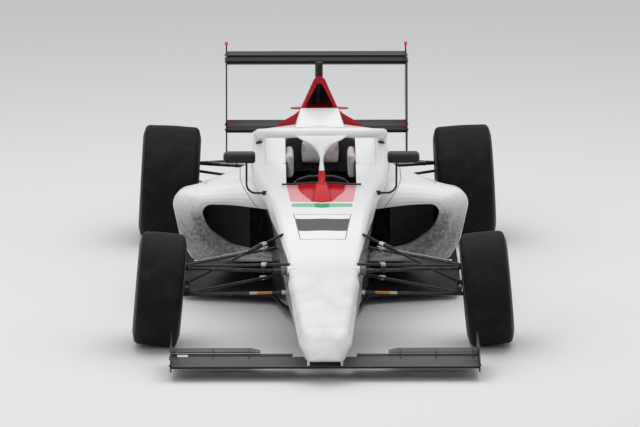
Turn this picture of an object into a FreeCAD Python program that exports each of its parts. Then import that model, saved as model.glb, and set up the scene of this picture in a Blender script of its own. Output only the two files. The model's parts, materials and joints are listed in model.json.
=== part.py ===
"""Open wheel single-seat racing car, in millimetres, one STEP per named piece.

Frame: +Z up, -Y forward, +X the car's left. The origin is on the ground, under the middle of the car.
Stations are distances behind the front axle, so a point at station s has y = FRONT_AXLE_Y + s.
Like pieces are modelled once on the left and mirrored to the right.
"""
import FreeCAD
import Part
import math
import os
from FreeCAD import Vector, Rotation, Placement

# ---------------------------------------------------------------- driving dimensions
LENGTH = 4340.0
WHEELBASE = 2750.0
OVERALL_WIDTH = 1815.0
NOSE_STATION = -960.0                              # nose tip, ahead of the front axle
FRONT_AXLE_Y = -LENGTH / 2 - NOSE_STATION
TAIL_STATION = NOSE_STATION + LENGTH

WALL = 18.0                                        # sandwich wall of the monocoque
SKIN = 8.0                                         # bodywork panels
PANEL_GAP = 1.0                                    # gap between neighbouring body panels
RUNNING = 0.05                                     # radial clearance of a shaft in its bearing
PIN_PLAY = 0.3                                     # radial clearance of a pin in a rod end or an arm's eye

# tyre: radius, section width, tread width, rim width, camber, station of the axle
FRONT_TYRE = dict(radius=270.0, section=228.0, tread=196.0, rim=203.0, camber=5.0, station=0.0)
REAR_TYRE = dict(radius=287.5, section=298.0, tread=264.0, rim=266.0, camber=3.2, station=WHEELBASE)
BEAD_RADIUS = 165.0
BARREL_RADIUS = 156.0                              # inside of the rim barrel
SPINDLE_RADIUS = 34.0
FRONT_SPINDLE_END = -58.0                          # front spindle's inner end, from the wheel's centre plane

FLOOR_BOTTOM = 40.0
FLOOR_THICK = 12.0
PLANK_THICK = 12.0

# front suspension points on the left: x, station, z
KINGPIN_TOP = (684.0, 12.0, 382.0)
KINGPIN_FOOT = (688.0, -8.0, 248.0)
UPPER_ARM_INNER = ((160.0, -100.0, 412.0), (190.0, 300.0, 422.0))
LOWER_ARM_INNER = ((150.0, -100.0, 278.0), (160.0, 300.0, 294.0))
PUSHROD_FOOT = (646.0, -2.0, 304.0)
PUSHROD_TOP = (192.0, 208.0, 497.0)
TIE_ROD_OUTER = (684.0, -60.0, 384.0)
RACK_STATION = -120.0
RACK_Z = 384.0

# rear suspension points on the left
REAR_UPPER_OUTER = (632.0, 2765.0, 388.0)
REAR_LOWER_OUTER = (642.0, 2740.0, 188.0)
REAR_UPPER_INNER = ((60.0, 2480.0, 402.0), (50.0, 2900.0, 392.0))
REAR_LOWER_INNER = ((80.0, 2468.0, 172.0), (60.0, 2840.0, 190.0))
TOE_LINK = ((624.0, 2662.0, 368.0), (80.0, 2430.0, 330.0))
REAR_PUSHROD = ((605.0, 2728.0, 216.0), (70.0, 2600.0, 385.0))

DRIVE_Z = 254.0                                    # height of the gearbox's outputs
DRIVE_END = 628.0                                  # drive shaft's inner end, from the wheel's centre plane

COLUMN_START = (0.0, 380.0, 470.0)                 # steering column: front end and the wheel's centre
COLUMN_END = (0.0, 868.0, 590.0)

PARTS = {}


def point(x, station, z):
    """A point in the car's frame from its station behind the front axle."""
    return Vector(x, FRONT_AXLE_Y + station, z)


# ---------------------------------------------------------------- wires and solids
def rounded_wire(corners, place):
    """Closed wire of lines and arcs round a polygon. corners: (u, v, radius); place makes a point of u, v."""
    flat = [Vector(u, v, 0) for u, v, _ in corners]
    count = len(corners)
    tangents = []
    for i, (_, _, radius) in enumerate(corners):
        back = flat[i - 1] - flat[i]
        ahead = flat[(i + 1) % count] - flat[i]
        half = back.getAngle(ahead) / 2
        reach = min(radius / math.tan(half), 0.46 * min(back.Length, ahead.Length))
        radius = reach * math.tan(half)
        back.normalize()
        ahead.normalize()
        middle = (back + ahead).normalize()
        start = flat[i] + back * reach
        end = flat[i] + ahead * reach
        top = flat[i] + middle * (radius / math.sin(half) - radius)
        tangents.append((start, top, end))
    edges = []
    for i, (start, top, end) in enumerate(tangents):
        follow = tangents[(i + 1) % count][0]
        edges.append(Part.Arc(*(place(p.x, p.y) for p in (start, top, end))).toShape())
        edges.append(Part.LineSegment(place(end.x, end.y), place(follow.x, follow.y)).toShape())
    return Part.Wire(edges)


def mirrored_corners(half):
    """Whole outline from its right-hand half: (u, v, radius) from top centre to bottom; u = 0 stays single."""
    left = [(-u, v, r) for u, v, r in reversed(half) if u > 0]
    return list(half) + left


def across(station):
    """Placing function for a section plane across the car."""
    return lambda u, v: point(u, station, v)


def loft(wires, ruled=False):
    solid = Part.makeLoft(wires, True, ruled)
    if solid.Volume < 0:
        solid = solid.reversed()
    return solid


def prism(wire, direction):
    return Part.Face(wire).extrude(direction)


def plan_prism(corners, low, high):
    """Upright prism over a plan outline. corners: (x, station, radius)."""
    wire = rounded_wire(corners, lambda u, v: point(u, v, low))
    return prism(wire, Vector(0, 0, high - low))


def side_prism(corners, x_low, x_high):
    """Prism across the car over a side outline. corners: (station, z, radius)."""
    wire = rounded_wire(corners, lambda u, v: point(x_low, u, v))
    return prism(wire, Vector(x_high - x_low, 0, 0))


def box(x_low, x_high, s_low, s_high, z_low, z_high):
    return Part.makeBox(x_high - x_low, s_high - s_low, z_high - z_low, point(x_low, s_low, z_low))


def rod(start, end, radius):
    """Round bar between two points given as x, station, z."""
    a, b = point(*start), point(*end)
    return Part.makeCylinder(radius, (b - a).Length, a, b - a)


def blade(start, end, chord, thickness):
    """Streamlined bar between two points: round in front, tapering to a thinner round tail."""
    a, b = point(*start), point(*end)
    run = b - a
    flow = Vector(0, 1, 0)
    flow = (flow - run * (flow.dot(run) / run.dot(run))).normalize()
    normal = run.cross(flow).normalize()
    front, tail = thickness / 2, thickness * 0.22

    def at(along, up):
        return a + flow * along + normal * up

    outline = [
        Part.Arc(at(front - chord / 2, -front), at(-chord / 2, 0), at(front - chord / 2, front)),
        Part.LineSegment(at(front - chord / 2, front), at(chord / 2 - tail, tail)),
        Part.Arc(at(chord / 2 - tail, tail), at(chord / 2, 0), at(chord / 2 - tail, -tail)),
        Part.LineSegment(at(chord / 2 - tail, -tail), at(front - chord / 2, -front)),
    ]
    return prism(Part.Wire([piece.toShape() for piece in outline]), run)


def fuse(shapes):
    solid = shapes[0].fuse(shapes[1:]) if len(shapes) > 1 else shapes[0]
    return solid.removeSplitter()


def mirrored(shape):
    return shape.mirror(Vector(0, 0, 0), Vector(1, 0, 0))


def pair(shape):
    """The piece and its mirror image, as solids that don't touch."""
    return Part.Compound(list(shape.Solids) + list(mirrored(shape).Solids))


def save(name, shape):
    PARTS[name] = shape


def eased(rows, steps):
    """The rows with more between them, on a smooth curve that leaves the first row straight back."""
    slopes = [[0.0] * len(rows[0])]
    for i in range(1, len(rows)):
        low, high = rows[i - 1], rows[min(i + 1, len(rows) - 1)]
        slopes.append([(b - a) / (high[0] - low[0]) for a, b in zip(low, high)])
    dense = []
    for i in range(len(rows) - 1):
        run = rows[i + 1][0] - rows[i][0]
        for k in range(steps):
            t = k / steps
            row = [a * (1 + 2 * t) * (1 - t) ** 2 + m * run * t * (1 - t) ** 2
                   + b * t * t * (3 - 2 * t) + n * run * t * t * (t - 1)
                   for a, b, m, n in zip(rows[i], rows[i + 1], slopes[i], slopes[i + 1])]
            row[0] = rows[i][0] + run * t
            dense.append(tuple(row))
    return dense + [rows[-1]]


# ---------------------------------------------------------------- nose and monocoque
# station, crown z, then half width and z of the edge, the side, the waist under it and the keel
NOSE = (
    (-860, 262, 100, 246, 132, 190, 106, 140, 90, 98),
    (-600, 320, 124, 302, 150, 232, 122, 165, 104, 106),
    (-260, 402, 158, 378, 184, 290, 147, 214, 118, 140),
)
TUB = (
    (-260, 402, 158, 378, 184, 290, 147, 214, 118, 140),
    (100, 492, 186, 464, 205, 372, 166, 250, 140, 130),
    (480, 606, 226, 580, 243, 490, 196, 380, 172, 85),
    (740, 652, 262, 616, 276, 556, 222, 440, 202, 52),
    (1060, 712, 320, 670, 332, 618, 262, 478, 228, 52),
    (1350, 776, 322, 738, 336, 688, 300, 520, 236, 52),
    (1656, 796, 300, 752, 318, 690, 288, 520, 232, 52),
)
TIP_BACK = 100.0                                   # length of the nose's rounded end


def body_section(row, grow=0.0):
    """Section across the body: crowned top, chamfered edge, side, waist and keel. grow moves the skin outwards."""
    station, crown, edge, edge_z, side, side_z, waist, waist_z, keel, keel_z = row
    half = [
        (0, crown + grow, 420),
        (edge + 0.7 * grow, edge_z + 0.7 * grow, 38),
        (side + grow, side_z, 60),
        (waist + grow, waist_z, 60),
        (keel + grow, keel_z - grow, 40),
    ]
    return rounded_wire(mirrored_corners(half), across(station))


def nose_tip_rows():
    """Sections of the rounded end: the nose's taper carried on, and drawn in on a quarter circle."""
    first, second = NOSE[:2]
    centre = 160.0
    rows = []
    for share in (0.0, 0.04, 0.14, 0.33, 0.62):
        size = math.sqrt(1 - (1 - share) ** 2) if share else 0.12
        station = first[0] - TIP_BACK * (1 - share)
        step = (station - first[0]) / (second[0] - first[0])
        full = [a + (b - a) * step for a, b in zip(first, second)]
        row = [station, centre + (full[1] - centre) * size]
        for half, z in zip(full[2::2], full[3::2]):
            row += [half * size, centre + (z - centre) * size]
        rows.append(row)
    return rows


def tub_outer(grow=0.0):
    rows = [list(row) for row in TUB]
    rows[0][0] -= grow
    rows[-1][0] += grow
    return loft([body_section(row, grow) for row in rows])


def make_nose():
    """Nose cone: a rounded tip, the long taper, and the twin pylons that the front wing hangs from."""
    rows = [list(row) for row in NOSE]
    rows[-1][0] -= PANEL_GAP
    tip = loft([body_section(row) for row in nose_tip_rows() + rows[:1]])
    taper = loft([body_section(row) for row in rows])
    pylons = [side_prism([(-846, 64, 8), (-676, 68, 8), (-620, 180, 8), (-820, 180, 8)], x, x + 12)
              for x in (-84, 72)]
    cone = fuse([taper, tip] + pylons).cut(PARTS["front_wing_main_plane"])
    save("nose_cone", max(cone.Solids, key=lambda solid: solid.Volume))


COCKPIT_FRONT = 738.0
COCKPIT_HALF = 170.0
HEADREST_FRONT = 1060.0
HEADREST_BACK = 1500.0
HEADREST_HALF = 270.0


def cockpit_plan(inset=0.0):
    """Plan of the cockpit opening: narrow at the dash and wide where the headrest drops in."""
    half = [
        (COCKPIT_HALF, COCKPIT_FRONT, 40),
        (COCKPIT_HALF, HEADREST_FRONT + inset, 20),
        (HEADREST_HALF - inset, HEADREST_FRONT + inset, 30),
        (HEADREST_HALF - inset, HEADREST_BACK - inset, 60),
    ]
    return half + [(-u, v, r) for u, v, r in reversed(half)]


def make_monocoque():
    outer = tub_outer()
    inner_rows = [list(row) for row in TUB]
    inner_rows[0][0] += 24
    inner_rows[-1][0] -= 24
    inner = loft([body_section(row, -WALL) for row in inner_rows])
    tub = outer.cut(inner).cut(box(-400, 400, 500, 1700, 0, FLOOR_BOTTOM + FLOOR_THICK))
    tub = tub.cut(plan_prism(cockpit_plan(), 560, 900))
    # dash bulkhead under the cockpit's front rim, with the steering column's bearing
    dash = box(-330, 330, 752, 766, 470, 700).common(inner)
    a, b = point(*COLUMN_START), point(*COLUMN_END)
    run = b - a
    tub = tub.fuse(dash)
    tub = tub.cut(Part.makeCylinder(14 + RUNNING, run.Length, a, run))
    # access opening in the front bulkhead, behind the nose
    access = plan_free_box(-95, 95, 180, 350, 20)
    tub = tub.cut(access)
    # the rack's passage through both side walls
    tub = tub.cut(rod((-320, RACK_STATION, RACK_Z), (320, RACK_STATION, RACK_Z), 18))
    # towing eye on a tab under the front bulkhead
    tab = side_prism([(-250, 92, 12), (-176, 92, 12), (-166, 150, 2), (-250, 150, 2)], -5, 5)
    tab = tab.cut(inner)
    tub = tub.fuse(tab).cut(rod((-20, -213, 118), (20, -213, 118), 15))
    save("monocoque", tub.removeSplitter())
    return outer


def plan_free_box(x_low, x_high, z_low, z_high, radius):
    """Rounded opening through the front bulkhead."""
    corners = [(x_low, z_low, radius), (x_high, z_low, radius), (x_high, z_high, radius), (x_low, z_high, radius)]
    wire = rounded_wire(corners, across(TUB[0][0] - 10))
    return prism(wire, Vector(0, 50, 0))


def make_headrest(outer):
    """Padded collar round the driver's head, dropped into the opening and flush with the tub."""
    outline = [
        (HEADREST_HALF - PANEL_GAP, HEADREST_FRONT + PANEL_GAP, 30),
        (HEADREST_HALF - PANEL_GAP, HEADREST_BACK - PANEL_GAP, 60),
        (-HEADREST_HALF + PANEL_GAP, HEADREST_BACK - PANEL_GAP, 60),
        (-HEADREST_HALF + PANEL_GAP, HEADREST_FRONT + PANEL_GAP, 30),
    ]
    bay = [(170, 1040, 4), (170, 1395, 90), (-170, 1395, 90), (-170, 1040, 4)]
    collar = plan_prism(outline, 590, 900).cut(plan_prism(bay, 580, 910)).common(outer)
    save("headrest", collar)


def make_cockpit_lip():
    """Low curved deflector standing on the front rim of the cockpit."""
    arc = [(-192, 752, 0), (0, 706, 0), (192, 752, 0)]
    front = Part.Arc(*(point(x, s, 0) for x, s, _ in arc))
    back = Part.Arc(*(point(x, s + 9, 0) for x, s, _ in arc))
    ends = [Part.LineSegment(front.StartPoint, back.StartPoint), Part.LineSegment(front.EndPoint, back.EndPoint)]
    wire = Part.Wire(Part.__sortEdges__([front.toShape(), back.toShape()] + [e.toShape() for e in ends]))
    wire.translate(Vector(0, 0, 600))
    lip = prism(wire, Vector(0, 0, 90))
    top = loft([body_section(row, 18) for row in TUB])
    save("cockpit_lip", lip.common(top).cut(tub_outer(0.3)))


# ---------------------------------------------------------------- halo
HALO_FRONT = 770.0                                 # ring's centreline at the front
HALO_FRONT_Z = 889.0
HALO_SLOPE = -0.185                                # the ring falls towards the rear
HALO_HALF = 300.0
HALO_BACK = 1446.0
HALO_TUBE = 23.0
# strut sections: z, station, half width, half depth
HALO_STRUT = (
    (610, 608, 26, 62),
    (660, 634, 15, 40),
    (730, 676, 13, 30),
    (795, 713, 13, 30),
    (820, 728, 34, 30),
    (856, 748, 90, 28),
    (880, 762, 128, 22),
)


def halo_level(station):
    return HALO_FRONT_Z + HALO_SLOPE * (station - HALO_FRONT)


def make_halo():
    """Hoop over the cockpit on a central strut, swept flat and then tipped down towards the rear."""
    side_turn, front_turn = 190.0, 520.0
    span = math.sqrt((front_turn - side_turn) ** 2 - (HALO_HALF - side_turn) ** 2)
    turn_start = front_turn - span                 # behind the hoop's front, where the side turns in
    share = (HALO_HALF - side_turn) / (front_turn - side_turn)
    meet = Vector(share * front_turn, front_turn - math.sqrt(1 - share ** 2) * front_turn, 0)
    lean = (math.atan(share) + math.pi / 2) / 2
    middle = Vector(HALO_HALF - side_turn + side_turn * math.sin(lean), turn_start - side_turn * math.cos(lean), 0)
    length = (HALO_BACK - HALO_FRONT) / math.cos(math.atan(HALO_SLOPE))
    side = Vector(HALO_HALF, turn_start, 0)

    def flip(v):
        return Vector(-v.x, v.y, v.z)

    edges = [
        Part.LineSegment(Vector(HALO_HALF, length, 0), side).toShape(),
        Part.Arc(side, middle, meet).toShape(),
        Part.Arc(meet, Vector(0, 0, 0), flip(meet)).toShape(),
        Part.Arc(flip(meet), flip(middle), flip(side)).toShape(),
        Part.LineSegment(flip(side), Vector(-HALO_HALF, length, 0)).toShape(),
    ]
    profile = Part.Wire([Part.Circle(Vector(HALO_HALF, length, 0), Vector(0, 1, 0), HALO_TUBE).toShape()])
    hoop = Part.Wire(edges).makePipeShell([profile], True, False)
    hoop.rotate(Vector(0, 0, 0), Vector(1, 0, 0), math.degrees(math.atan(HALO_SLOPE)))
    hoop.translate(point(0, HALO_FRONT, HALO_FRONT_Z))
    feet = []
    for side in (1, -1):
        x = side * HALO_HALF
        foot = [(x - 27, HALO_BACK - 80, 20), (x + 27, HALO_BACK - 80, 20),
                (x + 27, HALO_BACK + 26, 24), (x - 27, HALO_BACK + 26, 24)]
        feet.append(plan_prism(foot, 700, halo_level(HALO_BACK) + 14))
    wires = []
    for z, station, half, depth in HALO_STRUT:
        corners = [(-half, station - depth, 0.9 * half), (half, station - depth, 0.9 * half),
                   (half, station + depth, 0.9 * half), (-half, station + depth, 0.9 * half)]
        wires.append(rounded_wire(corners, lambda u, v, z=z: point(u, v, z)))
    strut = loft(wires)
    # teardrop that covers the strut's foot
    drop = loft([rounded_wire([(-w, s0, 0.6 * w), (w, s0, 0.6 * w), (w, s1, 0.6 * w), (-w, s1, 0.6 * w)],
                              lambda u, v, z=z: point(u, v, z))
                 for z, w, s0, s1 in ((560, 58, 455, 700), (632, 42, 530, 690), (668, 19, 590, 676))])
    halo = fuse([hoop, strut, drop] + feet)
    halo = halo.cut(tub_outer(0.3))
    save("halo", max(halo.Solids, key=lambda s: s.Volume))


# ---------------------------------------------------------------- roll hoop fairing, engine cover, mast
# station, crown z, top half, top z, waist half, waist z, flank half, flank z, base half, base z
COVER = (
    (1664, 1020, 26, 1004, 96, 842, 224, 768, 300, 575),
    (1900, 975, 26, 955, 98, 800, 235, 640, 310, 520),
    (2200, 880, 25, 855, 92, 700, 215, 570, 290, 480),
    (2550, 715, 24, 690, 80, 570, 175, 470, 235, 400),
    (2850, 570, 24, 552, 66, 470, 125, 395, 150, 335),
)
INTAKE = ((0, 1004, 18), (76, 854, 14))            # intake opening: half width, z, radius


def cover_section(row, grow=0.0):
    station, crown, top, top_z, waist, waist_z, flank, flank_z, base, base_z = row
    half = [
        (0, crown + grow, 14),
        (top + grow, top_z, 18),
        (waist + grow, waist_z, 70),
        (flank + grow, flank_z + grow, 90),
        (base + grow, base_z - 60 + 4 * min(grow, 0), 6),
    ]
    return rounded_wire(mirrored_corners(half), across(station))


def cover_outer(grow=0.0):
    return loft([cover_section(row, grow) for row in COVER])


def make_engine_cover():
    outer = cover_outer()
    inner_rows = [list(row) for row in COVER]
    inner_rows[0][0] += SKIN
    inner_rows[-1][0] += 5
    inner = loft([cover_section(row, -SKIN) for row in inner_rows])
    # open under the arms and links at the back, and through the front wall for the engine
    underside = side_prism([(1650, 200, 1), (1650, 330, 1), (2180, 330, 20), (2300, 436, 20), (2870, 436, 1),
                            (2870, 200, 1)], -400, 400)
    front_wall = box(-200, 200, COVER[0][0] - 9, COVER[0][0] + 10, 200, 600)
    cover = outer.cut(inner).cut(underside).cut(front_wall)
    (_, apex, r0), (half, base, r1) = INTAKE
    mouth = [(0, apex, r0), (half, base, r1), (-half, base, r1)]
    duct = loft([
        rounded_wire(mouth, across(COVER[0][0] - 20)),
        rounded_wire([(0, apex - 10, r0), (half - 8, base + 6, r1), (-half + 8, base + 6, r1)],
                     across(COVER[0][0] + 150))], True)
    throat = loft([
        rounded_wire([(0, apex + 12, r0 + 2), (half + 8, base - 6, r1), (-half - 8, base - 6, r1)],
                     across(COVER[0][0])),
        rounded_wire([(0, apex + 2, r0 + 2), (half, base, r1), (-half, base, r1)],
                     across(COVER[0][0] + 150))], True)
    throat = throat.cut(duct).common(outer)
    cover = cover.fuse(throat).cut(duct)
    # small fins beside the intake
    fins = []
    for side in (1, -1):
        fins.append(side_fin(side))
    cover = fuse([cover] + fins)
    save("engine_cover", max(cover.Solids, key=lambda s: s.Volume))
    return outer


def side_fin(side):
    """Thin horizontal fin that stands out beside the airbox."""
    corners = [(side * 70, 1690, 3), (side * 142, 1704, 3), (side * 142, 1730, 3), (side * 70, 1760, 3)]
    return plan_prism(corners, 846, 851)


def make_roll_hoop_fairing(cover):
    """White fairing that climbs from behind the head to the foot of the intake."""
    rows = (
        # station, top half, top z, base half, base z
        (1502, 122, 790, 150, 700),
        (1580, 106, 826, 150, 690),
        (1662, 94, 858, 150, 690),
    )
    wires = [rounded_wire(mirrored_corners([(top, top_z, 14), (base, base_z, 6)]), across(station))
             for station, top, top_z, base, base_z in rows]
    fairing = loft(wires).cut(tub_outer(0.5)).cut(cover_outer(0.5))
    save("roll_hoop_fairing", max(fairing.Solids, key=lambda s: s.Volume))


def make_camera_mast():
    mast = Part.makeCylinder(17, 90, point(0, 1720, 988), Vector(0, 0, 1))
    cap = Part.makeCylinder(19, 7, point(0, 1720, 1066), Vector(0, 0, 1))
    save("camera_mast", fuse([mast, cap]).cut(cover_outer(0.3)))


# ---------------------------------------------------------------- sidepods
# outline of the inlet, corner by corner as the pod's own outline: x, z, radius
POD_INLET = ((200, 465, 12), (430, 496, 900), (594, 500, 44), (548, 372, 140), (430, 292, 120), (200, 240, 12))
POD_INLET_STATION = 992.0
POD_ROOT = 200.0                                   # the pod starts inside the tub
# station, inner top z, then x and z of the crest, the outer edge, the middle of the side and its foot
POD = (
    (1120, 600, 440, 586, 736, 546, 682, 300, 622, 196),
    (1420, 700, 440, 578, 672, 500, 652, 330, 592, 150),
    (1760, 590, 400, 534, 532, 488, 532, 330, 490, 96),
    (2100, 510, 320, 486, 404, 456, 424, 320, 400, 66),
    (2390, 456, 260, 448, 316, 424, 340, 300, 320, 56),
)


def pod_corners(row, grow=0.0):
    _, inner_z, crest, crest_z, outer, outer_z, mid, mid_z, low, low_z = row
    return [(POD_ROOT, inner_z + grow, 12), (crest, crest_z + grow, 900), (outer + grow, outer_z + grow, 78),
            (mid + grow, mid_z, 120), (low + grow, low_z - grow, 60), (POD_ROOT, low_z - grow, 12)]


def pod_lip_section(share):
    """Section of the rounded lip: share 0 is the inlet's edge and 1 the full outline."""
    out = math.sqrt(1 - (1 - share) ** 2)
    corners = [tuple(a + (b - a) * out for a, b in zip(inlet, full))
               for inlet, full in zip(POD_INLET, pod_corners(POD[0]))]
    return rounded_wire(corners, across(POD_INLET_STATION + (POD[0][0] - POD_INLET_STATION) * share))


def make_sidepod(tub, cover):
    """Pod shell: a thick rounded lip round the inlet duct, then a thin skin that tapers to its open tail."""
    rows = eased(POD, 3)
    lip = loft([pod_lip_section(share) for share in (0.02, 0.08, 0.2, 0.42, 0.7, 1.0)], True)
    body = loft([rounded_wire(pod_corners(row), across(row[0])) for row in rows], True)
    hollow = loft([rounded_wire(pod_corners(row, -SKIN), across(row[0])) for row in rows], True)
    throat = [(200, 480, 12), (430, 510, 900), (620, 484, 60), (590, 340, 120), (480, 240, 60), (200, 220, 12)]
    duct = loft([rounded_wire(list(POD_INLET), across(POD_INLET_STATION - 30)),
                 rounded_wire(list(POD_INLET), across(POD_INLET_STATION + 60)),
                 rounded_wire(throat, across(POD_INLET_STATION + 240))], True)
    shell = body.cut(tub).cut(cover).cut(hollow)
    pod = lip.cut(tub).cut(duct).fuse(shell)
    return max(pod.Solids, key=lambda s: s.Volume)


def make_sidepods():
    tub = tub_outer(PANEL_GAP)
    cover = cover_outer(PANEL_GAP)
    left = make_sidepod(tub, cover)
    save("sidepod_left", left)
    save("sidepod_right", mirrored(left))
    core = side_prism([(1440, 190, 8), (1480, 190, 8), (1380, 470, 8), (1340, 470, 8)], 345, 560)
    save("radiators", pair(core))


# ---------------------------------------------------------------- floor, plank, diffuser
def make_floor():
    half = [
        (130, 560, 60), (190, 700, 60), (235, 980, 60), (420, 1040, 80), (676, 1110, 60), (690, 1400, 200),
        (690, 2250, 90), (548, 2440, 60), (540, 2462, 4),
    ]
    outline = half + [(-x, s, r) for x, s, r in reversed(half)]
    save("floor", plan_prism(outline, FLOOR_BOTTOM, FLOOR_BOTTOM + FLOOR_THICK))
    plank = [(125, 600, 60), (125, 2420, 30), (-125, 2420, 30), (-125, 600, 60)]
    save("skid_plank", plan_prism(plank, FLOOR_BOTTOM - PLANK_THICK, FLOOR_BOTTOM))


def make_diffuser():
    """Ramp that rises behind the floor, with its strakes."""
    ramp = side_prism([(2463, 40, 1), (2463, 52, 1), (2600, 78, 120), (3050, 210, 1), (3052, 200, 1),
                       (2604, 68, 120)], -470, 470)
    strakes = []
    for x in (-470, -250, -95, 89, 244, 464):
        strakes.append(side_prism([(2480, 47, 1), (2620, 76, 60), (3046, 202, 1), (3046, 120, 30),
                                   (2560, 48, 30)], x, x + 6))
    save("diffuser", fuse([ramp] + strakes))


# ---------------------------------------------------------------- wings
def aerofoil(x, station, z, chord, thickness, camber, angle):
    """Wing section in a plane of constant x: leading edge at station, z. Camber bulges downwards, and a positive
    angle lifts the trailing edge."""
    nose = thickness * 0.42
    turn = math.radians(angle)

    def place(along, up):
        return point(x, station + along * math.cos(turn) - up * math.sin(turn),
                     z + along * math.sin(turn) + up * math.cos(turn))

    upper = Part.Arc(place(nose, nose), place(chord * 0.45, thickness * 0.5 - camber), place(chord, 1.5))
    tail = Part.LineSegment(place(chord, 1.5), place(chord, -1.5))
    lower = Part.Arc(place(chord, -1.5), place(chord * 0.4, -thickness * 0.5 - camber), place(nose, -nose))
    front = Part.Arc(place(nose, -nose), place(0, 0), place(nose, nose))
    return Part.Wire([s.toShape() for s in (upper, tail, lower, front)])


def wing(rows):
    """Wing element through sections: x, station, z, chord, thickness, camber, angle."""
    return loft([aerofoil(*row) for row in rows], True)


FRONT_WING_TIP = 716.0


def make_front_wing():
    main = wing([(x, -860, 66, 200, 15, 8, 3) for x in (-FRONT_WING_TIP, -140, 140, FRONT_WING_TIP)])
    save("front_wing_main_plane", main)
    lower = wing([(150, -655, 70, 75, 8, 4, 4), (FRONT_WING_TIP, -655, 70, 75, 8, 4, 4)])
    upper = wing([(300, -590, 83, 40, 5, 2, 5), (345, -590, 83, 75, 7, 3, 5),
                  (FRONT_WING_TIP, -590, 83, 75, 7, 3, 5)])
    # small brackets hold each flap to the one ahead of it
    brackets = [side_prism([(-690, 74, 2), (-650, 68, 3), (-570, 74, 3), (-522, 84, 3), (-522, 94, 3),
                            (-590, 93, 3), (-650, 83, 3), (-690, 80, 2)], x, x + 4)
                for x in (352, 520, 690)]
    flaps = fuse([lower, upper] + brackets).cut(main)
    save("front_wing_flaps", pair(flaps))
    plate = side_prism([(-880, 44, 20), (-880, 96, 30), (-760, 156, 40), (-470, 160, 10), (-470, 44, 30)],
                       FRONT_WING_TIP, FRONT_WING_TIP + 6)
    save("front_wing_endplates", pair(plate))


REAR_WING_HALF = 456.0


def make_rear_wing():
    span = REAR_WING_HALF
    main = wing([(-span, 3046, 858, 160, 22, 12, 0), (span, 3046, 858, 160, 22, 12, 0)])
    flap = wing([(-span, 3212, 862, 110, 13, 6, 3), (span, 3212, 862, 110, 13, 6, 3)])
    beam = wing([(-span, 2946, 516, 170, 20, 14, 10.5), (span, 2946, 516, 170, 20, 14, 10.5)])
    pylon = side_prism([(3000, 508, 4), (3080, 534, 4), (3100, 620, 80), (3182, 853, 4), (3100, 842, 6),
                        (3030, 620, 80)], -6, 6)
    save("rear_wing_planes", Part.Compound([fuse([main, beam, pylon]), flap]))
    plate = side_prism([(2962, 388, 40), (2936, 520, 60), (3006, 862, 30), (3036, 878, 20), (3336, 878, 14),
                        (3336, 640, 60), (3180, 470, 60), (3130, 388, 30)], span, span + 7)
    # light post on the rear top corner
    post = rod((span + 3.5, 3318, 868), (span + 3.5, 3318, 901), 3.5)
    save("rear_wing_endplates", pair(fuse([plate, post])))
    lamp = Part.makeCylinder(8, 17, point(span + 3.5, 3318, 901), Vector(0, 0, 1))
    rain = box(-38, 38, TAIL_STATION - 22, TAIL_STATION, 262, 338)
    save("tail_lights", Part.Compound([lamp, mirrored(lamp), rain]))


# ---------------------------------------------------------------- mirrors
def make_mirrors():
    x_in, x_out = 319.0, 474.0
    wires = [rounded_wire([(x_in + m, 742 + m, 12), (x_out - m, 744 + m, 16), (x_out - m, 794 - m, 20),
                           (x_in + m, 794 - m, 16)], across(s))
             for s, m in ((742, 14), (752, 3), (775, 0), (806, 0))]
    housing = loft(wires).cut(box(x_in + 5, x_out - 5, 800, 810, 749, 788))
    rise, bend, low = 362.0, 44.0, 597.0
    elbow = bend * math.sqrt(0.5)
    points = [point(252, 762, low), point(rise - bend, 762, low),
              point(rise - bend + elbow, 762, low + bend - elbow), point(rise, 762, low + bend),
              point(rise, 762, 750)]
    path = Part.Wire([Part.LineSegment(points[0], points[1]).toShape(),
                      Part.Arc(points[1], points[2], points[3]).toShape(),
                      Part.LineSegment(points[3], points[4]).toShape()])
    profile = Part.Wire([Part.Circle(points[0], Vector(1, 0, 0), 5).toShape()])
    stalk = path.makePipeShell([profile], True, False)
    foot = rod((252, 762, low), (286, 762, low), 11)
    mirror = fuse([housing, stalk, foot]).cut(tub_outer(0.3))
    save("mirrors", pair(max(mirror.Solids, key=lambda s: s.Volume)))


# ---------------------------------------------------------------- seat and drive line
def make_seat():
    """Reclined bucket seat: its outer block less the space that the driver lies in."""
    outer = [(880, 190, 30), (880, 76, 20), (1240, 76, 90), (1530, 520, 20), (1512, 560, 16), (1430, 560, 30),
             (1160, 330, 120)]
    inner = [(860, 230, 10), (860, 98, 20), (1222, 98, 90), (1518, 556, 10), (1500, 620, 10), (1380, 620, 10),
             (1120, 420, 60)]
    shell = side_prism(outer, -178, 178).cut(side_prism(inner, -158, 158))
    save("seat", shell)


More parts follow.
